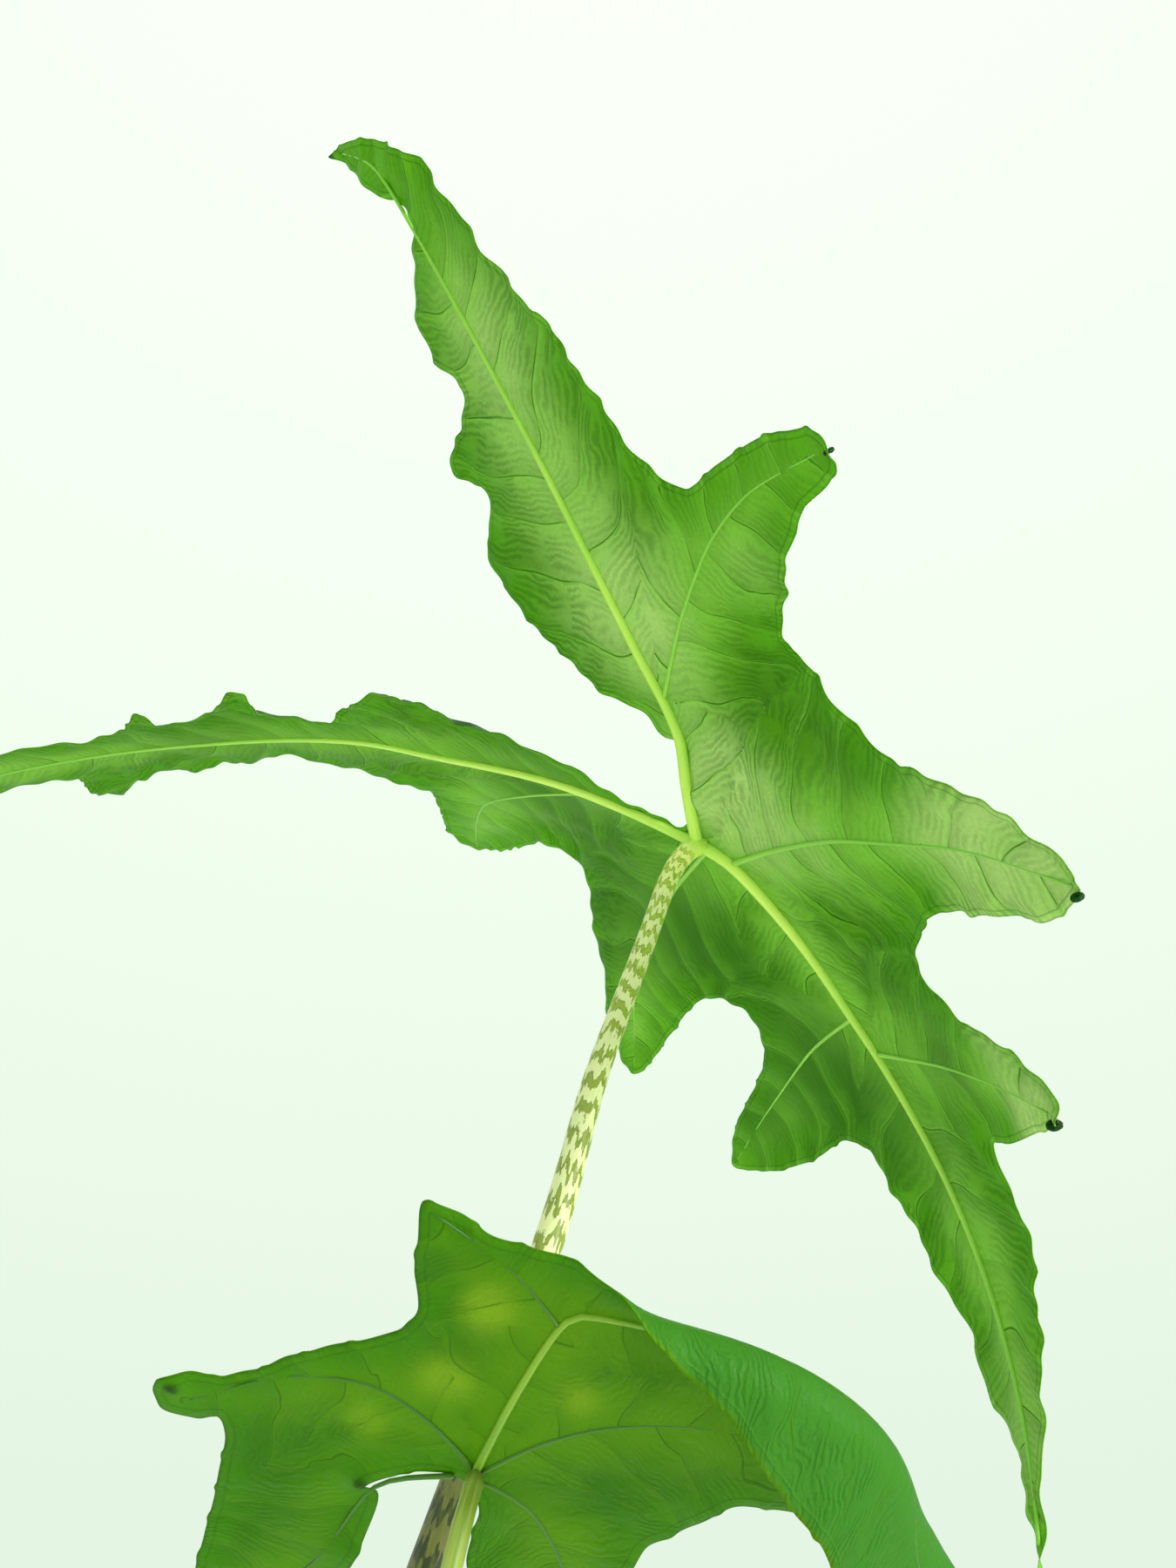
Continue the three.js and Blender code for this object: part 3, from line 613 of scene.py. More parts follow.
# %% A helper for node networks
class Finish:
    """A material being made: add() makes a node, and join() wires two sockets."""

    def __init__(self, name):
        self.material = bpy.data.materials.new(name)
        self.material.use_nodes = True
        self.nodes = self.material.node_tree.nodes
        self.links = self.material.node_tree.links
        self.shader = self.nodes["Principled BSDF"]
        self.output = self.nodes["Material Output"]

    def add(self, kind, **settings):
        node = self.nodes.new(kind)
        for key, value in settings.items():
            setattr(node, key, value)
        return node

    def join(self, source, target):
        self.links.new(source, target)

    def place(self):
        """Where a point lies on the object, in metres."""
        return self.add("ShaderNodeTexCoord").outputs["Object"]

    def attribute(self, label, socket="Fac"):
        return self.add("ShaderNodeAttribute", attribute_name=label).outputs[socket]

    def sum(self, kind, a, b=None, c=None, clamp=False):
        node = self.add("ShaderNodeMath", operation=kind, use_clamp=clamp)
        for index, value in enumerate((a, b, c)):
            if value is None:
                continue
            if isinstance(value, (int, float)):
                node.inputs[index].default_value = value
            else:
                self.join(value, node.inputs[index])
        return node.outputs[0]

    def band(self, value, low, high, to_low=0.0, to_high=1.0):
        """Value mapped smoothly from low..high to to_low..to_high."""
        node = self.add("ShaderNodeMapRange", interpolation_type="SMOOTHSTEP")
        self.join(value, node.inputs["Value"])
        ends = {"From Min": low, "From Max": high, "To Min": to_low, "To Max": to_high}
        for label, number in ends.items():
            node.inputs[label].default_value = number
        return node.outputs["Result"]

    def noise(self, vector, scale, detail=3.0, rough=0.55, distortion=0.0):
        node = self.add("ShaderNodeTexNoise")
        self.join(vector, node.inputs["Vector"])
        node.inputs["Scale"].default_value = scale
        node.inputs["Detail"].default_value = detail
        node.inputs["Roughness"].default_value = rough
        node.inputs["Distortion"].default_value = distortion
        return node.outputs["Fac"]

    def stretched(self, vector, scale):
        node = self.add("ShaderNodeMapping")
        self.join(vector, node.inputs["Vector"])
        node.inputs["Scale"].default_value = scale
        return node.outputs["Vector"]

    def mix(self, share, a, b, kind="MIX"):
        """Colour a turning into colour b as share goes from 0 to 1."""
        node = self.add("ShaderNodeMix", data_type="RGBA", blend_type=kind)
        for socket, value in ((node.inputs[0], share), (node.inputs[6], a), (node.inputs[7], b)):
            if isinstance(value, tuple):
                socket.default_value = (*value, 1)
            elif isinstance(value, (int, float)):
                socket.default_value = value
            else:
                self.join(value, socket)
        return node.outputs[2]

    def bump(self, height, strength, distance):
        node = self.add("ShaderNodeBump")
        self.join(height, node.inputs["Height"])
        node.inputs["Strength"].default_value = strength
        node.inputs["Distance"].default_value = distance
        self.join(node.outputs["Normal"], self.shader.inputs["Normal"])
        return node.outputs["Normal"]

    def surface(self, colour, roughness, specular=0.5, soak=0.0, depth=None):
        """The skin's colour, roughness and shine, and how far light soaks into it."""
        inputs = self.shader.inputs
        self.join(colour, inputs["Base Color"])
        if isinstance(roughness, float):
            inputs["Roughness"].default_value = roughness
        else:
            self.join(roughness, inputs["Roughness"])
        inputs["Specular IOR Level"].default_value = specular
        if depth:
            inputs["Subsurface Weight"].default_value = soak
            inputs["Subsurface Radius"].default_value = depth
        print("made the finish", self.material.name)
        return self.material


# %% [markdown]
# ### Living leaf
# A leaf seen from below glows where light comes through it. The finish mixes an
# ordinary satin surface with a translucent one. Colour comes in layers: broad
# patches, a paler zone beside each rib, fine side veins, the fine puckers beside
# them with painted shade in their hollows, the vein that runs inside the margin,
# and the margin itself. Painted light and shade lie among them: soft paler and
# deeper patches, a darker and a lighter side to each field between side veins,
# and a painted highlight beside each side vein.

# %% Broad colour of a leaf
def broad_colour(m, hue, fine, patches, cloud):
    """Matt and minty beside the ribs, vivid where the leaf thins towards its margin."""
    drift = m.sum("MULTIPLY", m.sum("SUBTRACT", cloud, 0.5), 26.0 / fine)
    out = m.sum("ADD", m.attribute("rib_gap"), drift)
    tissue = m.mix(m.band(out, 5.0 / fine, 30.0 / fine), hue["mint"], hue["middle"])
    near_margin = m.band(m.attribute("edge_gap"), 20.0 / fine, 4.0 / fine, 0.0, 0.85)
    tissue = m.mix(near_margin, tissue, hue["vivid"])
    tissue = m.mix(m.band(patches, 0.54, 0.68, 0.0, 0.35), tissue, hue["deep"])
    # On the large leaf the tone is painted light and shade: pale patches stand for highlights and deep
    # ones for shade.
    tone_and_painted_shading = m.attribute("tone_and_painted_shading")
    tissue = m.mix(m.band(tone_and_painted_shading, 0.0, 1.0), tissue, hue["pale"])
    return m.mix(m.band(tone_and_painted_shading, 0.0, -1.0, 0.0, 0.95), tissue, hue["deep"])


# %% Fine streaks
STREAKS_PER_VEIN = 7.0


def fine_streaks(m, flat, count, fine):
    """Fine puckers that run beside the side veins, broken up by noise; the finish paints their hollows
    dark as shade.
    """
    shaken = m.sum("MULTIPLY", m.noise(flat, 0.07 * fine, 3.0, 0.55), 0.55)
    branches = m.sum("MULTIPLY", m.sum("ADD", count, shaken), STREAKS_PER_VEIN)
    painted_shade_hollows = m.sum("SUBTRACT", 1.0, m.band(m.sum("PINGPONG", branches, 0.5), 0.02, 0.48))
    uneven = m.band(m.noise(flat, 0.11 * fine, 2.0, 0.5), 0.34, 0.56)
    away = m.band(m.attribute("rib_gap"), 4.0 / fine, 26.0 / fine, 0.4, 1.0)
    return m.sum("MULTIPLY", m.sum("MULTIPLY", painted_shade_hollows, uneven), away)


# %% Dark veins
def dark_veins(m, line, patchy):
    """Side veins, the vein inside the margin, and the seam where two ribs' fields meet."""
    edge = m.attribute("edge_gap")
    side_vein = m.sum("MULTIPLY", m.band(line, 0.019, 0.005), patchy)
    side_vein = m.sum("MULTIPLY", side_vein, m.band(edge, 1.6, 3.0))
    inner = m.sum("ABSOLUTE", m.sum("SUBTRACT", edge, 1.9))
    margin_vein = m.band(inner, 0.34, 0.08, 0.0, 0.45)
    seam = m.band(m.attribute("meeting"), 0.6, 0.1, 0.0, 0.25)
    seam = m.sum("MULTIPLY", seam, m.band(m.attribute("rib_gap"), 8.0, 14.0))
    return m.sum("MAXIMUM", m.sum("MAXIMUM", side_vein, margin_vein), seam)


# %% Leaf finish
def leaf_finish(name, hue, rough, fine, streaky, veiny):
    """A living leaf; fine is how much finer its pattern is than the large leaf's."""
    m = Finish(name)
    flat = m.attribute("flat", "Vector")
    edge = m.attribute("edge_gap")
    patches = m.noise(flat, 0.014 * fine, 2.0, 0.5)
    cloud = m.noise(flat, 0.05 * fine, 3.0, 0.5)
    grain = m.noise(flat, 0.9 * fine, 3.0, 0.6)
    tissue = broad_colour(m, hue, fine, patches, cloud)

    # Painted shade and highlight: each field between side veins is darker on one side, lighter on the
    # other.
    wander = m.sum("SUBTRACT", m.noise(flat, 0.026 * fine, 1.0, 0.5), 0.5)
    count = m.sum("ADD", m.attribute("vein"), m.sum("MULTIPLY", wander, 1.2))
    field = m.sum("FRACT", count)
    tissue = m.mix(m.band(field, 0.0, 0.45, 0.18, 0.0), tissue, hue["deep"])
    tissue = m.mix(m.band(field, 0.50, 0.98, 0.0, 0.22), tissue, hue["mint"])
    streaks = fine_streaks(m, flat, count, fine)
    # Painted shade in the hollows of the fine puckers.
    tissue = m.mix(m.sum("MULTIPLY", streaks, streaky), tissue, hue["deep"])
    tissue = m.mix(m.band(grain, 0.3, 0.7, 0.0, 0.14), tissue, hue["deep"])

    # A painted highlight lies along each side vein, where its relief catches light, and then the veins
    # go on top.
    line = m.sum("PINGPONG", count, 0.5)
    patchy = m.band(m.noise(flat, 0.05 * fine, 2.0, 0.5), 0.36, 0.56, 0.20, 1.0)
    painted_vein_highlight = m.sum("MULTIPLY", m.band(line, 0.055, 0.020, 0.0, 0.30), patchy)
    tissue = m.mix(painted_vein_highlight, tissue, hue["mint"])
    veins = dark_veins(m, line, patchy)
    under = m.mix(m.sum("MULTIPLY", veins, veiny), tissue, hue["vein_dark"])
    under = m.mix(m.band(edge, 0.7, 0.1, 0.0, 0.6 * veiny), under, hue["vein_dark"])
    dry = m.sum("MULTIPLY", m.band(m.attribute("tip"), 0.55, 0.95), 0.85)
    under = m.mix(dry, under, (0.014, 0.05, 0.006))

    # The upper side is a deeper green with pale veins.
    upper = m.mix(m.band(patches, 0.35, 0.75, 0.0, 0.16), hue["top_green"], hue["vivid"])
    # Painted highlight on one side of each field, as on the under side.
    upper = m.mix(m.band(field, 0.50, 0.98, 0.0, 0.12), upper, hue["vivid"])
    upper = m.mix(m.sum("MULTIPLY", veins, 0.45), upper, hue["mint"])
    # The pale margin is partly the leaf's own glassy edge and partly painted rim light.
    upper = m.mix(m.band(edge, 1.2, 0.3, 0.0, 0.9), upper, hue["mint"])
    skin = m.mix(m.attribute("under"), upper, under)

    height = m.sum("ADD", m.sum("MULTIPLY", streaks, -0.6), m.sum("MULTIPLY", grain, 0.4))
    height = m.sum("ADD", height, m.sum("MULTIPLY", veins, 0.8))
    normal = m.bump(height, 0.45, 0.0009)
    material = m.surface(skin, m.band(cloud, 0.3, 0.7, rough - 0.07, rough + 0.1), specular=0.15)

    # Nearly half of the light goes through the leaf, and comes out a little yellower.
    through = m.add("ShaderNodeBsdfTranslucent")
    m.join(m.mix(1.0, skin, (1.0, 1.0, 0.75), "MULTIPLY"), through.inputs["Color"])
    m.join(normal, through.inputs["Normal"])
    both = m.add("ShaderNodeMixShader")
    both.inputs[0].default_value = 0.45
    m.join(m.shader.outputs[0], both.inputs[1])
    m.join(through.outputs[0], both.inputs[2])
    m.join(both.outputs[0], m.output.inputs["Surface"])
    return material


# %% The two leaves' colours
large_leaf_look = leaf_finish("large_leaf", {
    "pale": (0.74, 1.0, 0.32), "mint": (0.36, 0.80, 0.07), "middle": (0.145, 0.45, 0.003),
    "vivid": (0.16, 0.57, 0.002), "deep": (0.045, 0.21, 0.001),
    "top_green": (0.028, 0.16, 0.014), "vein_dark": (0.02, 0.11, 0.001),
}, rough=0.42, fine=1.0, streaky=0.46, veiny=0.75)
small_leaf_look = leaf_finish("small_leaf", {
    "pale": (0.42, 0.66, 0.02), "mint": (0.16, 0.42, 0.001), "middle": (0.085, 0.31, 0.001),
    "vivid": (0.09, 0.36, 0.001), "deep": (0.045, 0.22, 0.001),
    "top_green": (0.08, 0.36, 0.03), "vein_dark": (0.018, 0.11, 0.001),
}, rough=0.40, fine=2.0, streaky=0.05, veiny=0.40)

# %% [markdown]
# ### Ribs
# The ribs are juicy and pale, greener towards their tips, with fine lines that
# run along them.

# %% Rib finish
def rib_finish(name, pale, green, tip):
    m = Finish(name)
    place = m.place()
    broad = m.noise(place, 22.0, 3.0, 0.55)
    fine = m.noise(place, 900.0, 2.0, 0.5)
    skin = m.mix(m.band(broad, 0.35, 0.7), pale, green)
    skin = m.mix(m.band(fine, 0.45, 0.8, 0.0, 0.3), skin, green)
    skin = m.mix(m.band(m.attribute("reach"), 0.15, 0.95), skin, tip)
    m.bump(fine, 0.25, 0.0003)
    return m.surface(skin, 0.36, specular=0.45, soak=0.35, depth=(0.004, 0.006, 0.002))


large_rib_look = rib_finish("large_ribs", (0.66, 0.92, 0.14), (0.50, 0.82, 0.09), (0.22, 0.58, 0.04))
small_rib_look = rib_finish("small_ribs", (0.25, 0.45, 0.015), (0.17, 0.39, 0.010), (0.03, 0.16, 0.002))

# %% [markdown]
# ## The large blade
# Its margin ripples by about a millimetre, and five lobe tips dip and dry out.
# Tones are broad soft patches, each at a place in the flat leaf with a radius;
# on this leaf they are painted light and shade: a share above zero is a paler
# painted highlight and a share below zero is deeper painted shade.

# %% Build the large blade
blade = build_blade(
    "large_blade", upper_outline, upper_ribs, bend_large, UPPER_TOP, upper_axes,
    spacing=1.9, pitch=20.0, ripple=1.0, quilt=1.9,
    curls=[(54, 146, 7, 3), (110, 89, 7, 3), (-247, 44, 8, 4), (-46, 158, 6, 3), (61, -140, 7, 3)],
    # Painted light and shade: pale patches stand for highlights, deep ones for shade.
    tones_and_painted_shading=[
        (-4, 30, 24, 1.3), (-64, 46, 26, 0.95), (36, 128, 16, 1.3), (54, 132, 14, 1.0),
        (52, 104, 12, 0.7), (24, 104, 16, 0.5), (108, 78, 12, 1.1), (88, 70, 14, 0.6),
        (-110, 45, 30, 0.45), (-156, 58, 30, 0.65), (-78, 20, 18, 0.3), (-45, 100, 16, 0.4),
        (190, 30, 26, 0.5), (20, 60, 14, 0.4), (40, -118, 10, 0.4), (60, 12, 16, 0.2),
        (-28, 76, 18, -0.3), (8, 92, 17, -0.55), (62, 36, 20, -0.4), (92, 46, 16, -0.6),
        (24, -46, 30, -0.75), (85, -30, 34, -0.8), (-45, -50, 36, -0.7), (10, -95, 30, -0.5),
        (-110, -75, 30, -0.3), (-165, -90, 34, -0.5), (100, -80, 20, -0.5),
        (62, 70, 14, -0.4), (120, 10, 26, -0.4),
    ],
)
finish_piece(blade, "blade_upper", large_leaf_look)
ribs = build_ribs("large_ribs", upper_ribs, bend_large, UPPER_TOP, upper_axes, 0.22, 3)
finish_piece(ribs, "blade_upper", large_rib_look)

# %% [markdown]
# ## The small blade
# The same recipe at a finer scale.

# %% Build the small blade
blade = build_blade(
    "small_blade", lower_outline, lower_ribs, bend_small, LOWER_TOP, lower_axes,
    spacing=1.1, pitch=12.0, ripple=0.5, quilt=0.35,
    curls=[(-10, 56, 5, 1), (-13, 17, 5, 2)],
    # The paler tones here are the leaf's own yellowish blotches; the deeper ones darken soft patches.
    tones_and_painted_shading=[
        (35, 15, 6, 0.9), (17, 14, 6, 0.8), (26, -8, 5, 0.6), (0, 22, 5, 0.6), (36, 0, 7, 0.25),
        (-18, 38, 12, -0.5), (12, -22, 10, -0.35), (38, 26, 8, -0.3),
    ],
)
finish_piece(blade, "blade_lower", small_leaf_look)
ribs = build_ribs("small_ribs", lower_ribs, bend_small, LOWER_TOP, lower_axes, 0.12, 1)
finish_piece(ribs, "blade_lower", small_rib_look)

# %% [markdown]
# ## Stalks
# A stalk is a tapering cord on a smooth path. Its mottling runs across it in
# broken zig-zag bands, so every point of the skin remembers where it lies: the
# direction round the stalk, as two numbers without a seam, and the length. A
# straight turned piece could be bent to the path, but a cord follows it exactly.

# %% Stalks
def stalk(name, path_mm, radius_at, sides, length_steps):
    """A stalk with a 'skin' vector on each point: round the stalk, and along."""
    path = rounded(path_mm, 4.0, False)
    steps = np.linalg.norm(np.diff(path, axis=0), axis=1)
    along = np.concatenate([[0], np.cumsum(steps)])
    even = np.linspace(0, along[-1], length_steps)
    path = np.stack([np.interp(even, along, path[:, k]) for k in range(3)], axis=1)
    t = np.linspace(0, 1, length_steps)
    radii = radius_at(t)
    piece = cord(name, (path * MM).tolist(), (radii * MM).tolist(), sides)
    mesh = piece.data
    co = np.empty(3 * len(mesh.vertices))
    mesh.vertices.foreach_get("co", co)
    co = co.reshape(-1, 3) / MM
    near = np.concatenate([
        np.linalg.norm(chunk[:, None] - path[None], axis=2).argmin(axis=1)
        for chunk in np.array_split(co, max(1, len(co) // 2000))
    ])
    away = (co - path[near]) / radii[near][:, None]
    skin = np.stack([away[:, 0], away[:, 1], even[-1] - even[near]], axis=1)
    layer = mesh.attributes.new("skin", "FLOAT_VECTOR", "POINT")
    layer.data.foreach_set("vector", skin.ravel())
    print(name, "is", round(float(along[-1])), "mm long")
    return piece


def above_corm(path):
    """Points given by their height above the corm's top."""
    return [(x, y, CORM_TOP + rise) for x, y, rise in path]


STALK_FOOT = (-4, 2)
upper_path = above_corm([
    (*STALK_FOOT, -1), (*STALK_FOOT, 22), (1, 2, 88), (16, 4, 173), (41, 6.5, 273),
    (70, 8, 364),
    (91, 7, 424), (102, 9, 466), (117.4, 14, 513), (124, 15, 533), (128.6, 14.2, 542.6),
    (133.2, 12.6, 546.6), (137, 12.8, 547.8),
])
lower_path = above_corm([
    (9, -9.5, -1), (9.5, -11, 30), (16, -18, 78), (30, -30, 153), (48, -40, 228),
    (66, -46.5, 298), (77, -47, 350), (78.9, -43.2, 360), (79.6, -40.6, 363.9),
])


def thick_stalk_radius(t):
    """From 9 mm at the foot to 2.9 mm, a little swollen where it meets its blade."""
    return between(9.0, 2.9, smooth(t)) * (1 + 0.12 * smooth((t - 0.93) / 0.07))


def thin_stalk_radius(t):
    return between(4.2, 1.75, t)


# %% [markdown]
# ### Mottled skin
# Cream ground with broken olive bands. The bands are rings whose height swings
# up and down round the stalk, broken up by noise. They lie closer together near
# the top, where the mottling is fine. Further down the ground turns khaki, and
# the blotches turn dark. Marks could be modelled one by one, but a recipe puts
# them all the way round without a seam.

# %% Mottled finish
def mottled_finish():
    m = Finish("mottled_stalk")
    skin = m.attribute("skin", "Vector")
    parts = m.add("ShaderNodeSeparateXYZ")
    m.join(skin, parts.inputs[0])
    down = parts.outputs["Z"]
    # Length counts for less further down, so the marks there are longer.
    eased = m.sum("MULTIPLY", m.sum("POWER", m.sum("MAXIMUM", down, 0.0), 0.72), 1.9)
    warped = m.add("ShaderNodeCombineXYZ")
    m.join(parts.outputs["X"], warped.inputs[0])
    m.join(parts.outputs["Y"], warped.inputs[1])
    m.join(eased, warped.inputs[2])
    # Zig-zag bands, with teeth that break their edges.
    swing = m.noise(m.stretched(warped.outputs[0], (2.2, 2.2, 0.10)), 1.0, 2.0, 0.5)
    shifted = m.sum("ADD", m.sum("MULTIPLY", eased, 0.62), m.sum("MULTIPLY", swing, 4.2))
    rings = m.sum("PINGPONG", shifted, 1.0)
    teeth = m.noise(m.stretched(warped.outputs[0], (3.0, 3.0, 0.9)), 1.0, 3.0, 0.6, 0.4)
    value = m.sum("ADD", m.sum("MULTIPLY", rings, 0.5), m.sum("MULTIPLY", teeth, 0.9))
    dark = m.band(value, 0.70, 0.82)
    rim = m.sum("MULTIPLY", m.band(value, 0.70, 0.78), m.band(value, 0.88, 0.80))
    low = m.band(down, 150.0, 195.0)
    hook = m.band(down, 34.0, 6.0)
    ground = m.mix(low, (0.98, 1.0, 0.52), (0.15, 0.155, 0.035))
    ground = m.mix(hook, ground, (0.98, 1.0, 0.34))
    blotch = m.mix(m.band(down, 10.0, 120.0), (0.52, 0.72, 0.07), (0.34, 0.42, 0.05))
    blotch = m.mix(low, blotch, (0.035, 0.045, 0.012))
    colour = m.mix(dark, ground, blotch)
    outline = m.mix(low, (0.15, 0.19, 0.02), (0.03, 0.035, 0.01))
    colour = m.mix(m.sum("MULTIPLY", rim, 0.6), colour, outline)
    colour = m.mix(m.band(down, 9.0, 3.0), colour, (0.62, 0.90, 0.12))
    fine = m.noise(m.stretched(skin, (6.0, 6.0, 0.3)), 1.0, 2.0, 0.5)
    colour = m.mix(m.band(fine, 0.4, 0.8, 0.0, 0.16), colour, (0.46, 0.54, 0.12))
    m.bump(m.sum("ADD", fine, m.sum("MULTIPLY", dark, 0.3)), 0.2, 0.0003)
    return m.surface(colour, 0.4, soak=0.15, depth=(0.003, 0.004, 0.002))


thick = stalk("thick_stalk", upper_path, thick_stalk_radius, 24, 190)
finish_piece(thick, "petiole_upper", mottled_finish())

# %% [markdown]
# ### Plain stalk
# The thin stalk is yellow-green with faint lengthwise lines.

# %% Plain stalk finish
def plain_stalk_finish(name, light, green):
    m = Finish(name)
    skin = m.attribute("skin", "Vector")
    lines = m.noise(m.stretched(skin, (3.0, 3.0, 0.05)), 1.0, 3.0, 0.55)
    spots = m.noise(m.stretched(skin, (2.0, 2.0, 0.5)), 1.0, 3.0, 0.55)
    colour = m.mix(m.band(lines, 0.35, 0.65), light, green)
    colour = m.mix(m.band(spots, 0.55, 0.75, 0.0, 0.4), colour, green)
    m.bump(lines, 0.3, 0.0003)
    return m.surface(colour, 0.42, soak=0.15, depth=(0.003, 0.004, 0.001))


thin = stalk("thin_stalk", lower_path, thin_stalk_radius, 16, 150)
thin_look = plain_stalk_finish("thin_stalk", (0.50, 0.58, 0.12), (0.28, 0.42, 0.05))
finish_piece(thin, "petiole_lower", thin_look)

# %% [markdown]
# ### Curled tips
# Three lobes end in a dry tip that has rolled itself into a small knot. Each
# one is a thin cord wound along a shrinking spiral, fixed to the lobe's end. The
# blade itself would crease if it were wound so tightly.

# %% Curled tips
def tip_finish():
    m = Finish("dry_tips")
    place = m.place()
    specks = m.noise(place, 900.0, 3.0, 0.6)
    colour = m.mix(m.band(specks, 0.4, 0.65), (0.004, 0.035, 0.003), (0.012, 0.08, 0.006))
    m.bump(specks, 0.5, 0.0003)
    return m.surface(colour, 0.6, specular=0.15)


COIL_TURNS, COIL_SHRINK = 1.35, 0.62


def curled_tip(name, start, outward, radius):
    """A knot at a place in the flat leaf; outward is a flat direction too."""
    s = np.linspace(0, 1, 26)
    angle = 2 * math.pi * COIL_TURNS * s
    coil = radius * (1 - COIL_SHRINK * s)
    reach = 0.8 * radius + coil * np.sin(angle) + 0.4 * s
    outward = np.array(outward) / np.linalg.norm(outward)
    flat = np.array(start) + reach[:, None] * outward
    place, normal = place_and_normal(bend_large, flat, np.full(len(s), start[1] >= 0))
    place = place - normal * (coil * (1 - np.cos(angle)) - 0.3)[:, None]
    world_path = (place @ upper_axes + UPPER_TOP) * MM
    thick = (1.0 + 0.5 * s) * 0.42 * radius
    return cord(name, world_path.tolist(), (thick * MM).tolist(), 12)


tips = joined([
    curled_tip("tip_1", (56.0, 140.5), (0.45, 0.9), 1.15),
    curled_tip("tip_2", (109.5, 83.5), (0.5, 0.87), 1.6),
    curled_tip("tip_3", (-48, 154.5), (0.3, 0.95), 1.0),
], "curled_tips")
finish_piece(tips, "blade_upper", tip_finish())

# %% [markdown]
# ## The pot
# The pot is turned: one ring is extruded and resized from each point of the
# wall's profile to the next. Drain holes are cut with plain cylinders, and a
# bevel rounds every sharp edge, as moulding does.

# %% A helper for turned pieces
def turned(name, profile, sides):
    """A closed piece turned about the upright axis; the profile is (radius, height)."""
    deselect()
    radius, height = profile[0]
    bpy.ops.mesh.primitive_circle_add(
        vertices=sides, radius=radius * MM, fill_type="NGON", location=(0, 0, height * MM)
    )
    piece = bpy.context.object
    piece.name = name
    bpy.ops.object.transform_apply(location=True, rotation=True, scale=True)
    bpy.ops.object.mode_set(mode="EDIT")
    bpy.ops.mesh.select_all(action="SELECT")
    for next_radius, next_height in profile[1:]:
        rise = (next_height - height) * MM
        grow = next_radius / radius
        bpy.ops.mesh.extrude_region_move(TRANSFORM_OT_translate={"value": (0, 0, rise)})
        bpy.ops.transform.resize(value=(grow, grow, 1), center_override=(0, 0, next_height * MM))
        radius, height = next_radius, next_height
    bpy.ops.mesh.select_all(action="SELECT")
    bpy.ops.mesh.normals_make_consistent(inside=False)
    bpy.ops.object.mode_set(mode="OBJECT")
    return piece


def apply_modifier(piece, kind, **settings):
    """Add one modifier, set it and apply it."""
    select_only([piece])
    modifier = piece.modifiers.new(kind.lower(), kind)
    for key, value in settings.items():
        setattr(modifier, key, value)
    bpy.ops.object.modifier_apply(modifier=modifier.name)


# %% Turn the pot
pot_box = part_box("pot")
POT_RADIUS = pot_box[1][0] / MM
POT_HEIGHT = pot_box[1][2] / MM
POT_WALL, RIM_HEIGHT, RIM_OVERHANG, FOOT_RADIUS = 2.4, 14.0, 4.0, 57.0
wall_top = POT_HEIGHT - RIM_HEIGHT


def wall_radius(height):
    """Outside of the leaning wall at a height."""
    return FOOT_RADIUS + 1 + (POT_RADIUS - RIM_OVERHANG - FOOT_RADIUS - 1) * height / wall_top


pot = turned("plain_pot", [
    (FOOT_RADIUS - 9, 1.4), (FOOT_RADIUS - 7.5, 0.05), (FOOT_RADIUS - 1, 0.05),
    (wall_radius(2.5), 2.5), (wall_radius(40), 40), (wall_radius(84), 84),
    (wall_radius(wall_top - 5), wall_top - 5), (wall_radius(wall_top), wall_top),
    (POT_RADIUS - 0.6, wall_top + 0.2), (POT_RADIUS, wall_top + 1.2),
    (POT_RADIUS, wall_top + 4.6), (POT_RADIUS - 0.7, wall_top + 5.2),
    (POT_RADIUS - 0.7, wall_top + 6.0), (POT_RADIUS, wall_top + 6.6),
    (POT_RADIUS, POT_HEIGHT - 1.2), (POT_RADIUS - 0.9, POT_HEIGHT),
    (POT_RADIUS - POT_WALL + 0.3, POT_HEIGHT), (POT_RADIUS - POT_WALL, POT_HEIGHT - 0.8),
    (POT_RADIUS - POT_WALL, wall_top + POT_WALL), (wall_radius(wall_top) - POT_WALL, wall_top - 0.5),
    (wall_radius(60) - POT_WALL, 60), (wall_radius(5) - POT_WALL, 5),
    (wall_radius(3) - POT_WALL - 2, 3),
], 96)

# %% Cut the drain holes and round the edges
DRAIN_RADIUS, DRAIN_RING, DRAIN_COUNT = 5.0, 36.0, 6
for number in range(DRAIN_COUNT):
    angle = 2 * math.pi * number / DRAIN_COUNT
    deselect()
    bpy.ops.mesh.primitive_cylinder_add(
        vertices=32, radius=DRAIN_RADIUS * MM, depth=14 * MM,
        location=(DRAIN_RING * math.cos(angle) * MM, DRAIN_RING * math.sin(angle) * MM, 1 * MM),
    )
    drill = bpy.context.object
    apply_modifier(pot, "BOOLEAN", object=drill, operation="DIFFERENCE", solver="EXACT")
    bpy.data.objects.remove(drill)
apply_modifier(
    pot, "BEVEL", width=0.35 * MM, segments=2,
    limit_method="ANGLE", angle_limit=math.radians(30),
)
select_only([pot])
bpy.ops.object.shade_smooth_by_angle(angle=math.radians(38))
print("pot", round(2 * POT_RADIUS), "mm across and", round(POT_HEIGHT), "mm tall")

# %% [markdown]
# ### Moulded plastic
# Recycled grey plastic: a satin skin with very fine moulding grain, faint
# upright flow marks, and a dusting of pale mineral bloom near the foot and rim.

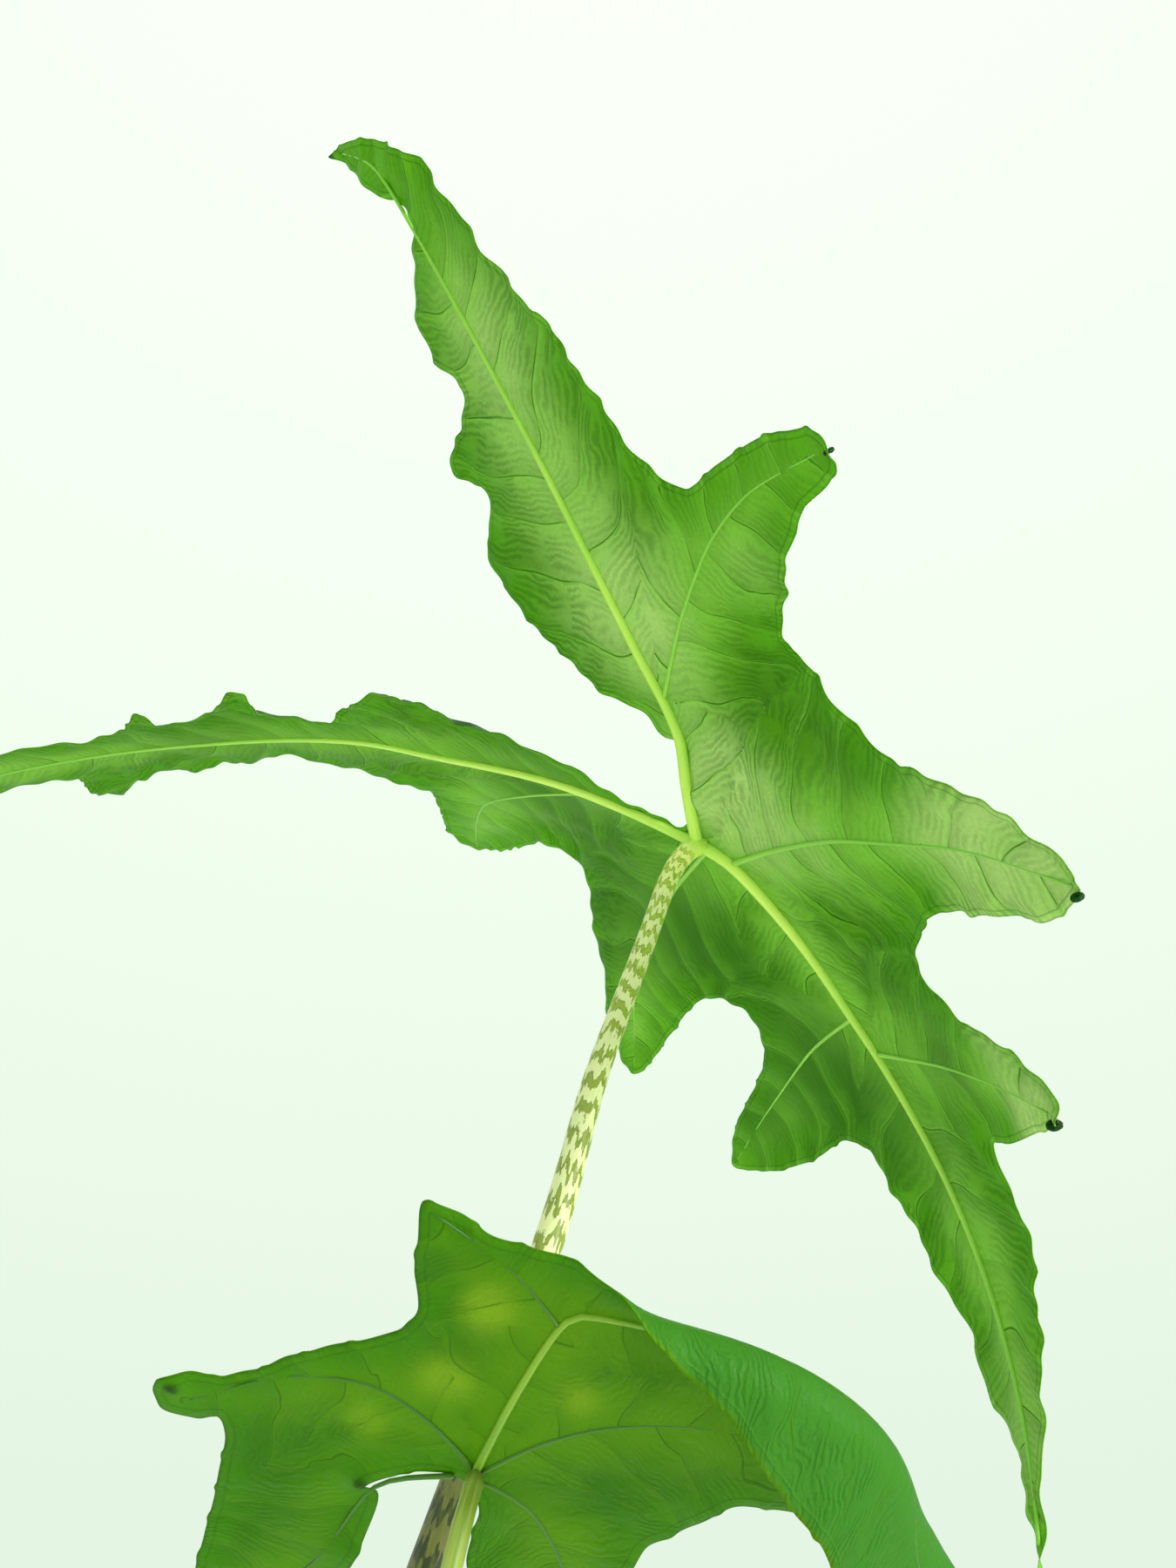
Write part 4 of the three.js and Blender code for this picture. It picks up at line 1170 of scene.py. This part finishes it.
# %% Pot finish
def pot_finish():
    m = Finish("grey_plastic")
    place = m.place()
    parts = m.add("ShaderNodeSeparateXYZ")
    m.join(place, parts.inputs[0])
    flow = m.noise(m.stretched(place, (60.0, 60.0, 7.0)), 1.0, 4.0, 0.6)
    grain = m.noise(place, 2600.0, 2.0, 0.5)
    bloom = m.noise(place, 55.0, 5.0, 0.65)
    colour = m.mix(m.band(flow, 0.3, 0.7), (0.145, 0.155, 0.16), (0.205, 0.215, 0.22))
    low = m.band(parts.outputs["Z"], 0.030, 0.0)
    high = m.band(parts.outputs["Z"], 0.118, 0.140, 0.0, 0.6)
    dusty = m.sum("MULTIPLY", m.sum("MAXIMUM", low, high), m.band(bloom, 0.46, 0.68))
    colour = m.mix(m.sum("MULTIPLY", dusty, 0.55), colour, (0.46, 0.45, 0.42))
    m.bump(m.sum("ADD", grain, m.sum("MULTIPLY", flow, 0.6)), 0.18, 0.0002)
    rough = m.sum("ADD", m.band(flow, 0.3, 0.7, 0.40, 0.50), m.sum("MULTIPLY", dusty, 0.3))
    return m.surface(colour, rough)


finish_piece(pot, "pot", pot_finish())

# %% [markdown]
# ## The potting mix
# The mix is turned too, with close rings on top that are then pushed up and
# down by noise into crumbs. Bits of bark and perlite lie on it, each a small
# solid that is modelled once and copied.

# %% Turn and roughen the mix
SOIL_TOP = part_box("soil")[1][2] / MM - 1.5
SOIL_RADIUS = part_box("soil")[1][0] / MM
CORM_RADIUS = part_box("corm")[1][0] / MM
FIT_GAP = 0.35


def roughen(piece, size, amount, chosen):
    """Push chosen points along their normals by noise of a size, in millimetres."""
    pushed = 0
    for vertex in piece.data.vertices:
        place = vertex.co / MM
        if chosen(place):
            coarse = noise.noise(place / size)
            fine = noise.noise(place / (size * 0.37) + Vector((7, 3, 5)))
            vertex.co += vertex.normal * (coarse + 0.55 * fine) * amount * MM
            pushed += 1
    print(piece.name, "roughened at", pushed, "points")


rings = np.arange(SOIL_RADIUS - 1.2, CORM_RADIUS + 1.5, -1.35)
mound = 0.9 * np.sin(rings / 6.5) + 0.6 * np.cos(rings / 3.1)
mix_profile = [(wall_radius(4) - POT_WALL - 4, 3.7), (wall_radius(5.5) - POT_WALL - 0.4, 5.5)]
mix_profile += [(wall_radius(60) - POT_WALL - 0.4, 60), (SOIL_RADIUS, SOIL_TOP - 3.5)]
mix_profile += [(r, SOIL_TOP + h * min(1, (SOIL_RADIUS - r) / 8)) for r, h in zip(rings, mound)]
mix_profile += [(share * CORM_RADIUS + FIT_GAP, SOIL_TOP + rise) for share, rise in (
    (1.0, 0.8), (1.0, -18), (0.82, -34), (0.45, -44), (0.40, -47.4),
)]
soil = turned("potting_mix", mix_profile, 170)


def on_top_of_mix(place):
    return place.z > SOIL_TOP - 2.5 and math.hypot(place.x, place.y) > CORM_RADIUS + 1


roughen(soil, 3.4, 1.5, on_top_of_mix)
soil.data.shade_smooth()

# %% [markdown]
# ### Moist mix
# Dark clods, lighter fibres and a few pale specks. Noise makes the clods and
# the fibres, and also raises them as bumps. Small cells make the specks.

# %% Soil finish
def soil_finish():
    m = Finish("moist_mix")
    place = m.place()
    clods = m.noise(place, 240.0, 5.0, 0.65)
    fibres = m.noise(m.stretched(place, (900.0, 260.0, 500.0)), 1.0, 3.0, 0.6, 1.2)
    specks = m.add("ShaderNodeTexVoronoi")
    m.join(place, specks.inputs["Vector"])
    specks.inputs["Scale"].default_value = 620.0
    colour = m.mix(m.band(clods, 0.35, 0.65), (0.012, 0.008, 0.005), (0.055, 0.034, 0.02))
    colour = m.mix(m.band(fibres, 0.58, 0.74, 0.0, 0.7), colour, (0.11, 0.066, 0.034))
    near_speck = m.band(specks.outputs["Distance"], 0.16, 0.08, 0.0, 0.35)
    colour = m.mix(near_speck, colour, (0.20, 0.15, 0.10))
    m.bump(m.sum("ADD", clods, m.sum("MULTIPLY", fibres, 0.5)), 0.8, 0.0012)
    return m.surface(colour, m.band(clods, 0.3, 0.7, 0.75, 0.98), specular=0.25)


finish_piece(soil, "soil", soil_finish())

# %% [markdown]
# ### Bark and perlite
# Chips of bark and white grains of perlite lie on the mix. Each kind is one
# rough pebble, copied and squashed by a seeded dice, and joined into one piece.

# %% Bits of bark and perlite
def scatter(name, count, smallest, largest, squash, seed):
    """Copies of one rough pebble lying on the mix, joined into a piece."""
    dice = random.Random(seed)
    deselect()
    bpy.ops.mesh.primitive_ico_sphere_add(subdivisions=1, radius=MM)
    pebble = bpy.context.object
    made = []
    while len(made) < count:
        away = math.sqrt(dice.uniform((CORM_RADIUS + 3) ** 2, (SOIL_RADIUS - 4) ** 2))
        angle = dice.uniform(0, 2 * math.pi)
        size = dice.uniform(smallest, largest)
        stretch = Matrix.Diagonal((size * dice.uniform(0.8, 1.7), size, size * squash, 1))
        turn = Euler([dice.uniform(-0.5, 0.5), dice.uniform(-0.5, 0.5), dice.uniform(0, 6.28)])
        place = Vector((away * math.cos(angle), away * math.sin(angle), SOIL_TOP + 0.7)) * MM
        copy = pebble.copy()
        copy.data = pebble.data.copy()
        copy.data.transform(Matrix.Translation(place) @ turn.to_matrix().to_4x4() @ stretch)
        for vertex in copy.data.vertices:
            vertex.co += (vertex.co - place) * dice.uniform(-0.22, 0.22)
        scene.collection.objects.link(copy)
        made.append(copy)
    bpy.data.objects.remove(pebble)
    return joined(made, name)


# %% Finish of bark, perlite and roots
def bit_finish(name, dark, light, grain_size):
    m = Finish(name)
    place = m.place()
    each = m.noise(place, 140.0, 1.0, 0.5)
    grain = m.noise(m.stretched(place, (grain_size, grain_size * 0.3, grain_size)), 1.0, 3.0, 0.6)
    colour = m.mix(m.band(each, 0.35, 0.65), dark, light)
    colour = m.mix(m.band(grain, 0.4, 0.7, 0.0, 0.5), colour, dark)
    m.bump(grain, 0.6, 0.0004)
    return m.surface(colour, 0.85)


bark = scatter("bark_bits", 260, 1.0, 3.0, 0.55, 5)
finish_piece(bark, "soil", bit_finish("bark", (0.035, 0.02, 0.011), (0.15, 0.085, 0.045), 900.0))
perlite = scatter("perlite_bits", 110, 0.6, 1.5, 0.9, 9)
finish_piece(perlite, "soil", bit_finish("perlite", (0.52, 0.50, 0.45), (0.85, 0.84, 0.80), 1500.0))

# %% [markdown]
# ## The corm
# The plant's woody stem base, ringed by the scars of old leaves. The rings could
# be bumps in the finish only, but here they shape its outline too. Short roots
# bend from its side into the mix.

# %% Turn the corm
cad_shares = [(0.45, -44), (0.82, -34), (1.0, -18), (0.98, -4), (0.93, 4), (0.9, 12), (0.80, 14.6)]
corm_profile = [(0.40 * CORM_RADIUS, SOIL_TOP - 46.8)]
for rise in np.arange(-44, 14.7, 0.65):
    share = np.interp(rise, [r for _, r in cad_shares], [s for s, _ in cad_shares])
    scar = 0.035 * abs(math.sin(rise * 1.15 + 0.4 * math.sin(rise * 0.7))) ** 0.6 - 0.02
    corm_profile.append((CORM_RADIUS * (share + (scar if rise > -8 else 0)), SOIL_TOP + rise))
corm_profile += [(0.66 * CORM_RADIUS, CORM_TOP - 0.1), (0.4 * CORM_RADIUS, CORM_TOP - 0.3)]
corm = turned("ringed_corm", corm_profile, 96)
roughen(corm, 2.2, 0.45, lambda place: place.z > SOIL_TOP - 6)
corm.data.shade_smooth()


# %% [markdown]
# ### Ringed bark
# Rings run round the corm and fibres run up it. Both are noise, squeezed along
# one direction and stretched along the other.

# %% Corm finish
def corm_finish():
    m = Finish("corm_bark")
    place = m.place()
    rings = m.noise(m.stretched(place, (70.0, 70.0, 900.0)), 1.0, 3.0, 0.6, 0.4)
    fibres = m.noise(m.stretched(place, (900.0, 900.0, 90.0)), 1.0, 4.0, 0.6)
    colour = m.mix(m.band(rings, 0.35, 0.65), (0.055, 0.03, 0.015), (0.21, 0.125, 0.062))
    colour = m.mix(m.band(fibres, 0.45, 0.7, 0.0, 0.6), colour, (0.33, 0.22, 0.11))
    m.bump(m.sum("ADD", m.sum("MULTIPLY", rings, 1.2), fibres), 0.7, 0.0008)
    return m.surface(colour, 0.86)


finish_piece(corm, "corm", corm_finish())

# %% [markdown]
# ### Short roots
# Roots leave the corm all round, just above the mix, and bend down into it. A
# seeded dice gives each one its own length, thickness and swing.

# %% Short roots
ROOT_COUNT = 14
dice = random.Random(21)
made_roots = []
for number in range(ROOT_COUNT):
    angle = 2 * math.pi * (number + dice.uniform(-0.3, 0.3)) / ROOT_COUNT
    start = SOIL_TOP + dice.uniform(1.5, 7.0)
    steps = np.linspace(0, 1, 9)
    away = CORM_RADIUS * 0.88 + steps * dice.uniform(5.0, 11.0)
    height = start + 1.2 * np.sin(steps * 2) - (start - SOIL_TOP + 3.5) * steps**2
    swing = angle + 0.25 * dice.uniform(-1, 1) * steps
    line = np.stack([away * np.cos(swing), away * np.sin(swing), height], axis=1) * MM
    radii = dice.uniform(0.7, 1.15) * (1 - 0.35 * steps) * MM
    made_roots.append(cord(f"root_{number}", line.tolist(), radii.tolist(), 8))
roots = joined(made_roots, "short_roots")
finish_piece(roots, "corm", bit_finish("root_skin", (0.16, 0.10, 0.055), (0.42, 0.31, 0.19), 700.0))

# %% [markdown]
# ## The dry sheath
# An old scale leaf wraps the thick stalk's foot, thin as paper and torn at the
# top. A turned collar would be closed all round. So a grid is curled round the
# stalk instead, open on one side, torn by noise, and given its thickness.

# %% Curl the sheath
SHEATH_INNER, SHEATH_HEIGHT = 9.7, 23.0
SHEATH_MIDDLE, SHEATH_HALF = math.radians(333), math.radians(113)
deselect()
bpy.ops.mesh.primitive_grid_add(x_subdivisions=96, y_subdivisions=26, size=2)
sheath = bpy.context.object
sheath.name = "dry_sheath"
for vertex in sheath.data.vertices:
    across, up = vertex.co.x, (vertex.co.y + 1) / 2
    angle = SHEATH_MIDDLE + SHEATH_HALF * across
    tear = 0.16 * noise.noise(Vector((4.5 * across, 2, 1)))
    tear += 0.06 * noise.noise(Vector((19 * across, 5, 1)))
    top = SHEATH_HEIGHT * (0.86 + tear - 0.30 * abs(across) ** 5)
    fold = 0.16 * math.sin(23 * angle) + 0.3 * noise.noise(Vector((3 * across, 4 * up, 9)))
    radius = SHEATH_INNER + 0.45 + 0.5 * up**2 + fold * up
    x = STALK_FOOT[0] + radius * math.cos(angle)
    y = STALK_FOOT[1] + radius * math.sin(angle)
    vertex.co = Vector((x, y, CORM_TOP + 0.1 + top * up)) * MM
apply_modifier(sheath, "SOLIDIFY", thickness=0.35 * MM, offset=0.0)
sheath.data.shade_smooth()


# %% [markdown]
# ### Dry paper
# Fibres run up the sheath, and darker stains lie over them.

# %% Sheath finish
def sheath_finish():
    m = Finish("papery_sheath")
    place = m.place()
    fibres = m.noise(m.stretched(place, (1300.0, 1300.0, 60.0)), 1.0, 4.0, 0.6)
    stains = m.noise(place, 160.0, 4.0, 0.6)
    colour = m.mix(m.band(fibres, 0.35, 0.65), (0.24, 0.13, 0.05), (0.55, 0.38, 0.19))
    colour = m.mix(m.band(stains, 0.48, 0.68, 0.0, 0.7), colour, (0.10, 0.05, 0.022))
    m.bump(fibres, 0.6, 0.0005)
    return m.surface(colour, 0.78)


finish_piece(sheath, "sheath", sheath_finish())

# %% [markdown]
# ## The young leaf
# The next leaf stands as a rolled spear. A wound sheet would hide most of its
# turns, so it is made as a stalk, and then a groove is pressed along the line
# where the roll's edge shows.

# %% Roll the young leaf
spear_path = above_corm([(-3, -12.0, -1), (-4, -12.5, 12), (-7, -15, 50), (-12, -18, 88)])


def spear_radius(t):
    """2.8 mm below, tapering over its upper half to less than a third of that."""
    return 2.8 * (1 - 0.7 * smooth((t - 0.45) / 0.55))


spear = stalk("rolled_leaf", spear_path, spear_radius, 32, 70)
skin = np.empty(3 * len(spear.data.vertices))
spear.data.attributes["skin"].data.foreach_get("vector", skin)
skin = skin.reshape(-1, 3)
for vertex, (x, y, down) in zip(spear.data.vertices, skin):
    turn = (math.atan2(y, x) - 0.030 * down + math.pi) % (2 * math.pi) - math.pi
    groove = math.exp(-((turn / 0.16) ** 2)) + 0.5 * max(0.0, math.sin(turn + 0.5)) ** 6
    vertex.co -= vertex.normal * 0.30 * groove * MM
spear_look = plain_stalk_finish("young_skin", (0.34, 0.60, 0.10), (0.16, 0.42, 0.04))
finish_piece(spear, "young_leaf", spear_look)

# %% [markdown]
# ## Floor and light
# A plain pale floor and soft light. Most light comes from a bright even sky.

# %% Floor
deselect()
bpy.ops.mesh.primitive_plane_add(size=40.0, location=(0, 0, 0))
floor = bpy.context.object
floor.name = "floor"
floor_look = Finish("pale_floor")
floor_look.shader.inputs["Base Color"].default_value = (0.80, 0.82, 0.79, 1)
floor_look.shader.inputs["Roughness"].default_value = 0.8
floor.data.materials.append(floor_look.material)

# %% Sky
world = bpy.data.worlds.new("bright_sky")
scene.world = world
world.use_nodes = True
sky = world.node_tree
background = sky.nodes["Background"]
direction = sky.nodes.new("ShaderNodeTexCoord")
split = sky.nodes.new("ShaderNodeSeparateXYZ")
ramp = sky.nodes.new("ShaderNodeValToRGB")
sky.links.new(direction.outputs["Generated"], split.inputs[0])
sky.links.new(split.outputs["Z"], ramp.inputs["Fac"])
sky.links.new(ramp.outputs["Color"], background.inputs["Color"])
ramp.color_ramp.elements[0].position = 0.10
ramp.color_ramp.elements[0].color = (0.73, 0.855, 0.72, 1)
ramp.color_ramp.elements[1].position = 0.96
ramp.color_ramp.elements[1].color = (0.905, 1.0, 0.88, 1)
path = sky.nodes.new("ShaderNodeLightPath")
strength = sky.nodes.new("ShaderNodeMapRange")
sky.links.new(path.outputs["Is Camera Ray"], strength.inputs["Value"])
strength.inputs["To Min"].default_value = 0.90
strength.inputs["To Max"].default_value = 1.06
sky.links.new(strength.outputs["Result"], background.inputs["Strength"])

# %% [markdown]
# ### Lamps
# A large soft lamp above and behind makes the leaves glow from below, and a
# weaker one at the side gives the stalks and ribs their gentle highlights.

# %% Lamps
def lamp(name, place, aim, size, power, colour):
    data = bpy.data.lights.new(name, "AREA")
    data.shape = "DISK"
    data.size = size
    data.energy = power
    data.color = colour
    piece = bpy.data.objects.new(name, data)
    scene.collection.objects.link(piece)
    piece.location = place
    piece.rotation_euler = (Vector(aim) - Vector(place)).to_track_quat("-Z", "Y").to_euler()
    return piece


lamp("window_above", (0.45, 0.9, 1.8), (0.12, 0.0, 0.65), 0.8, 34.0, (1.0, 0.98, 0.92))
lamp("soft_side", (1.1, -0.75, 0.85), (0.12, 0.0, 0.70), 0.4, 12.0, (1.0, 1.0, 0.96))
scene.view_settings.view_transform = "Standard"
scene.view_settings.look = "None"
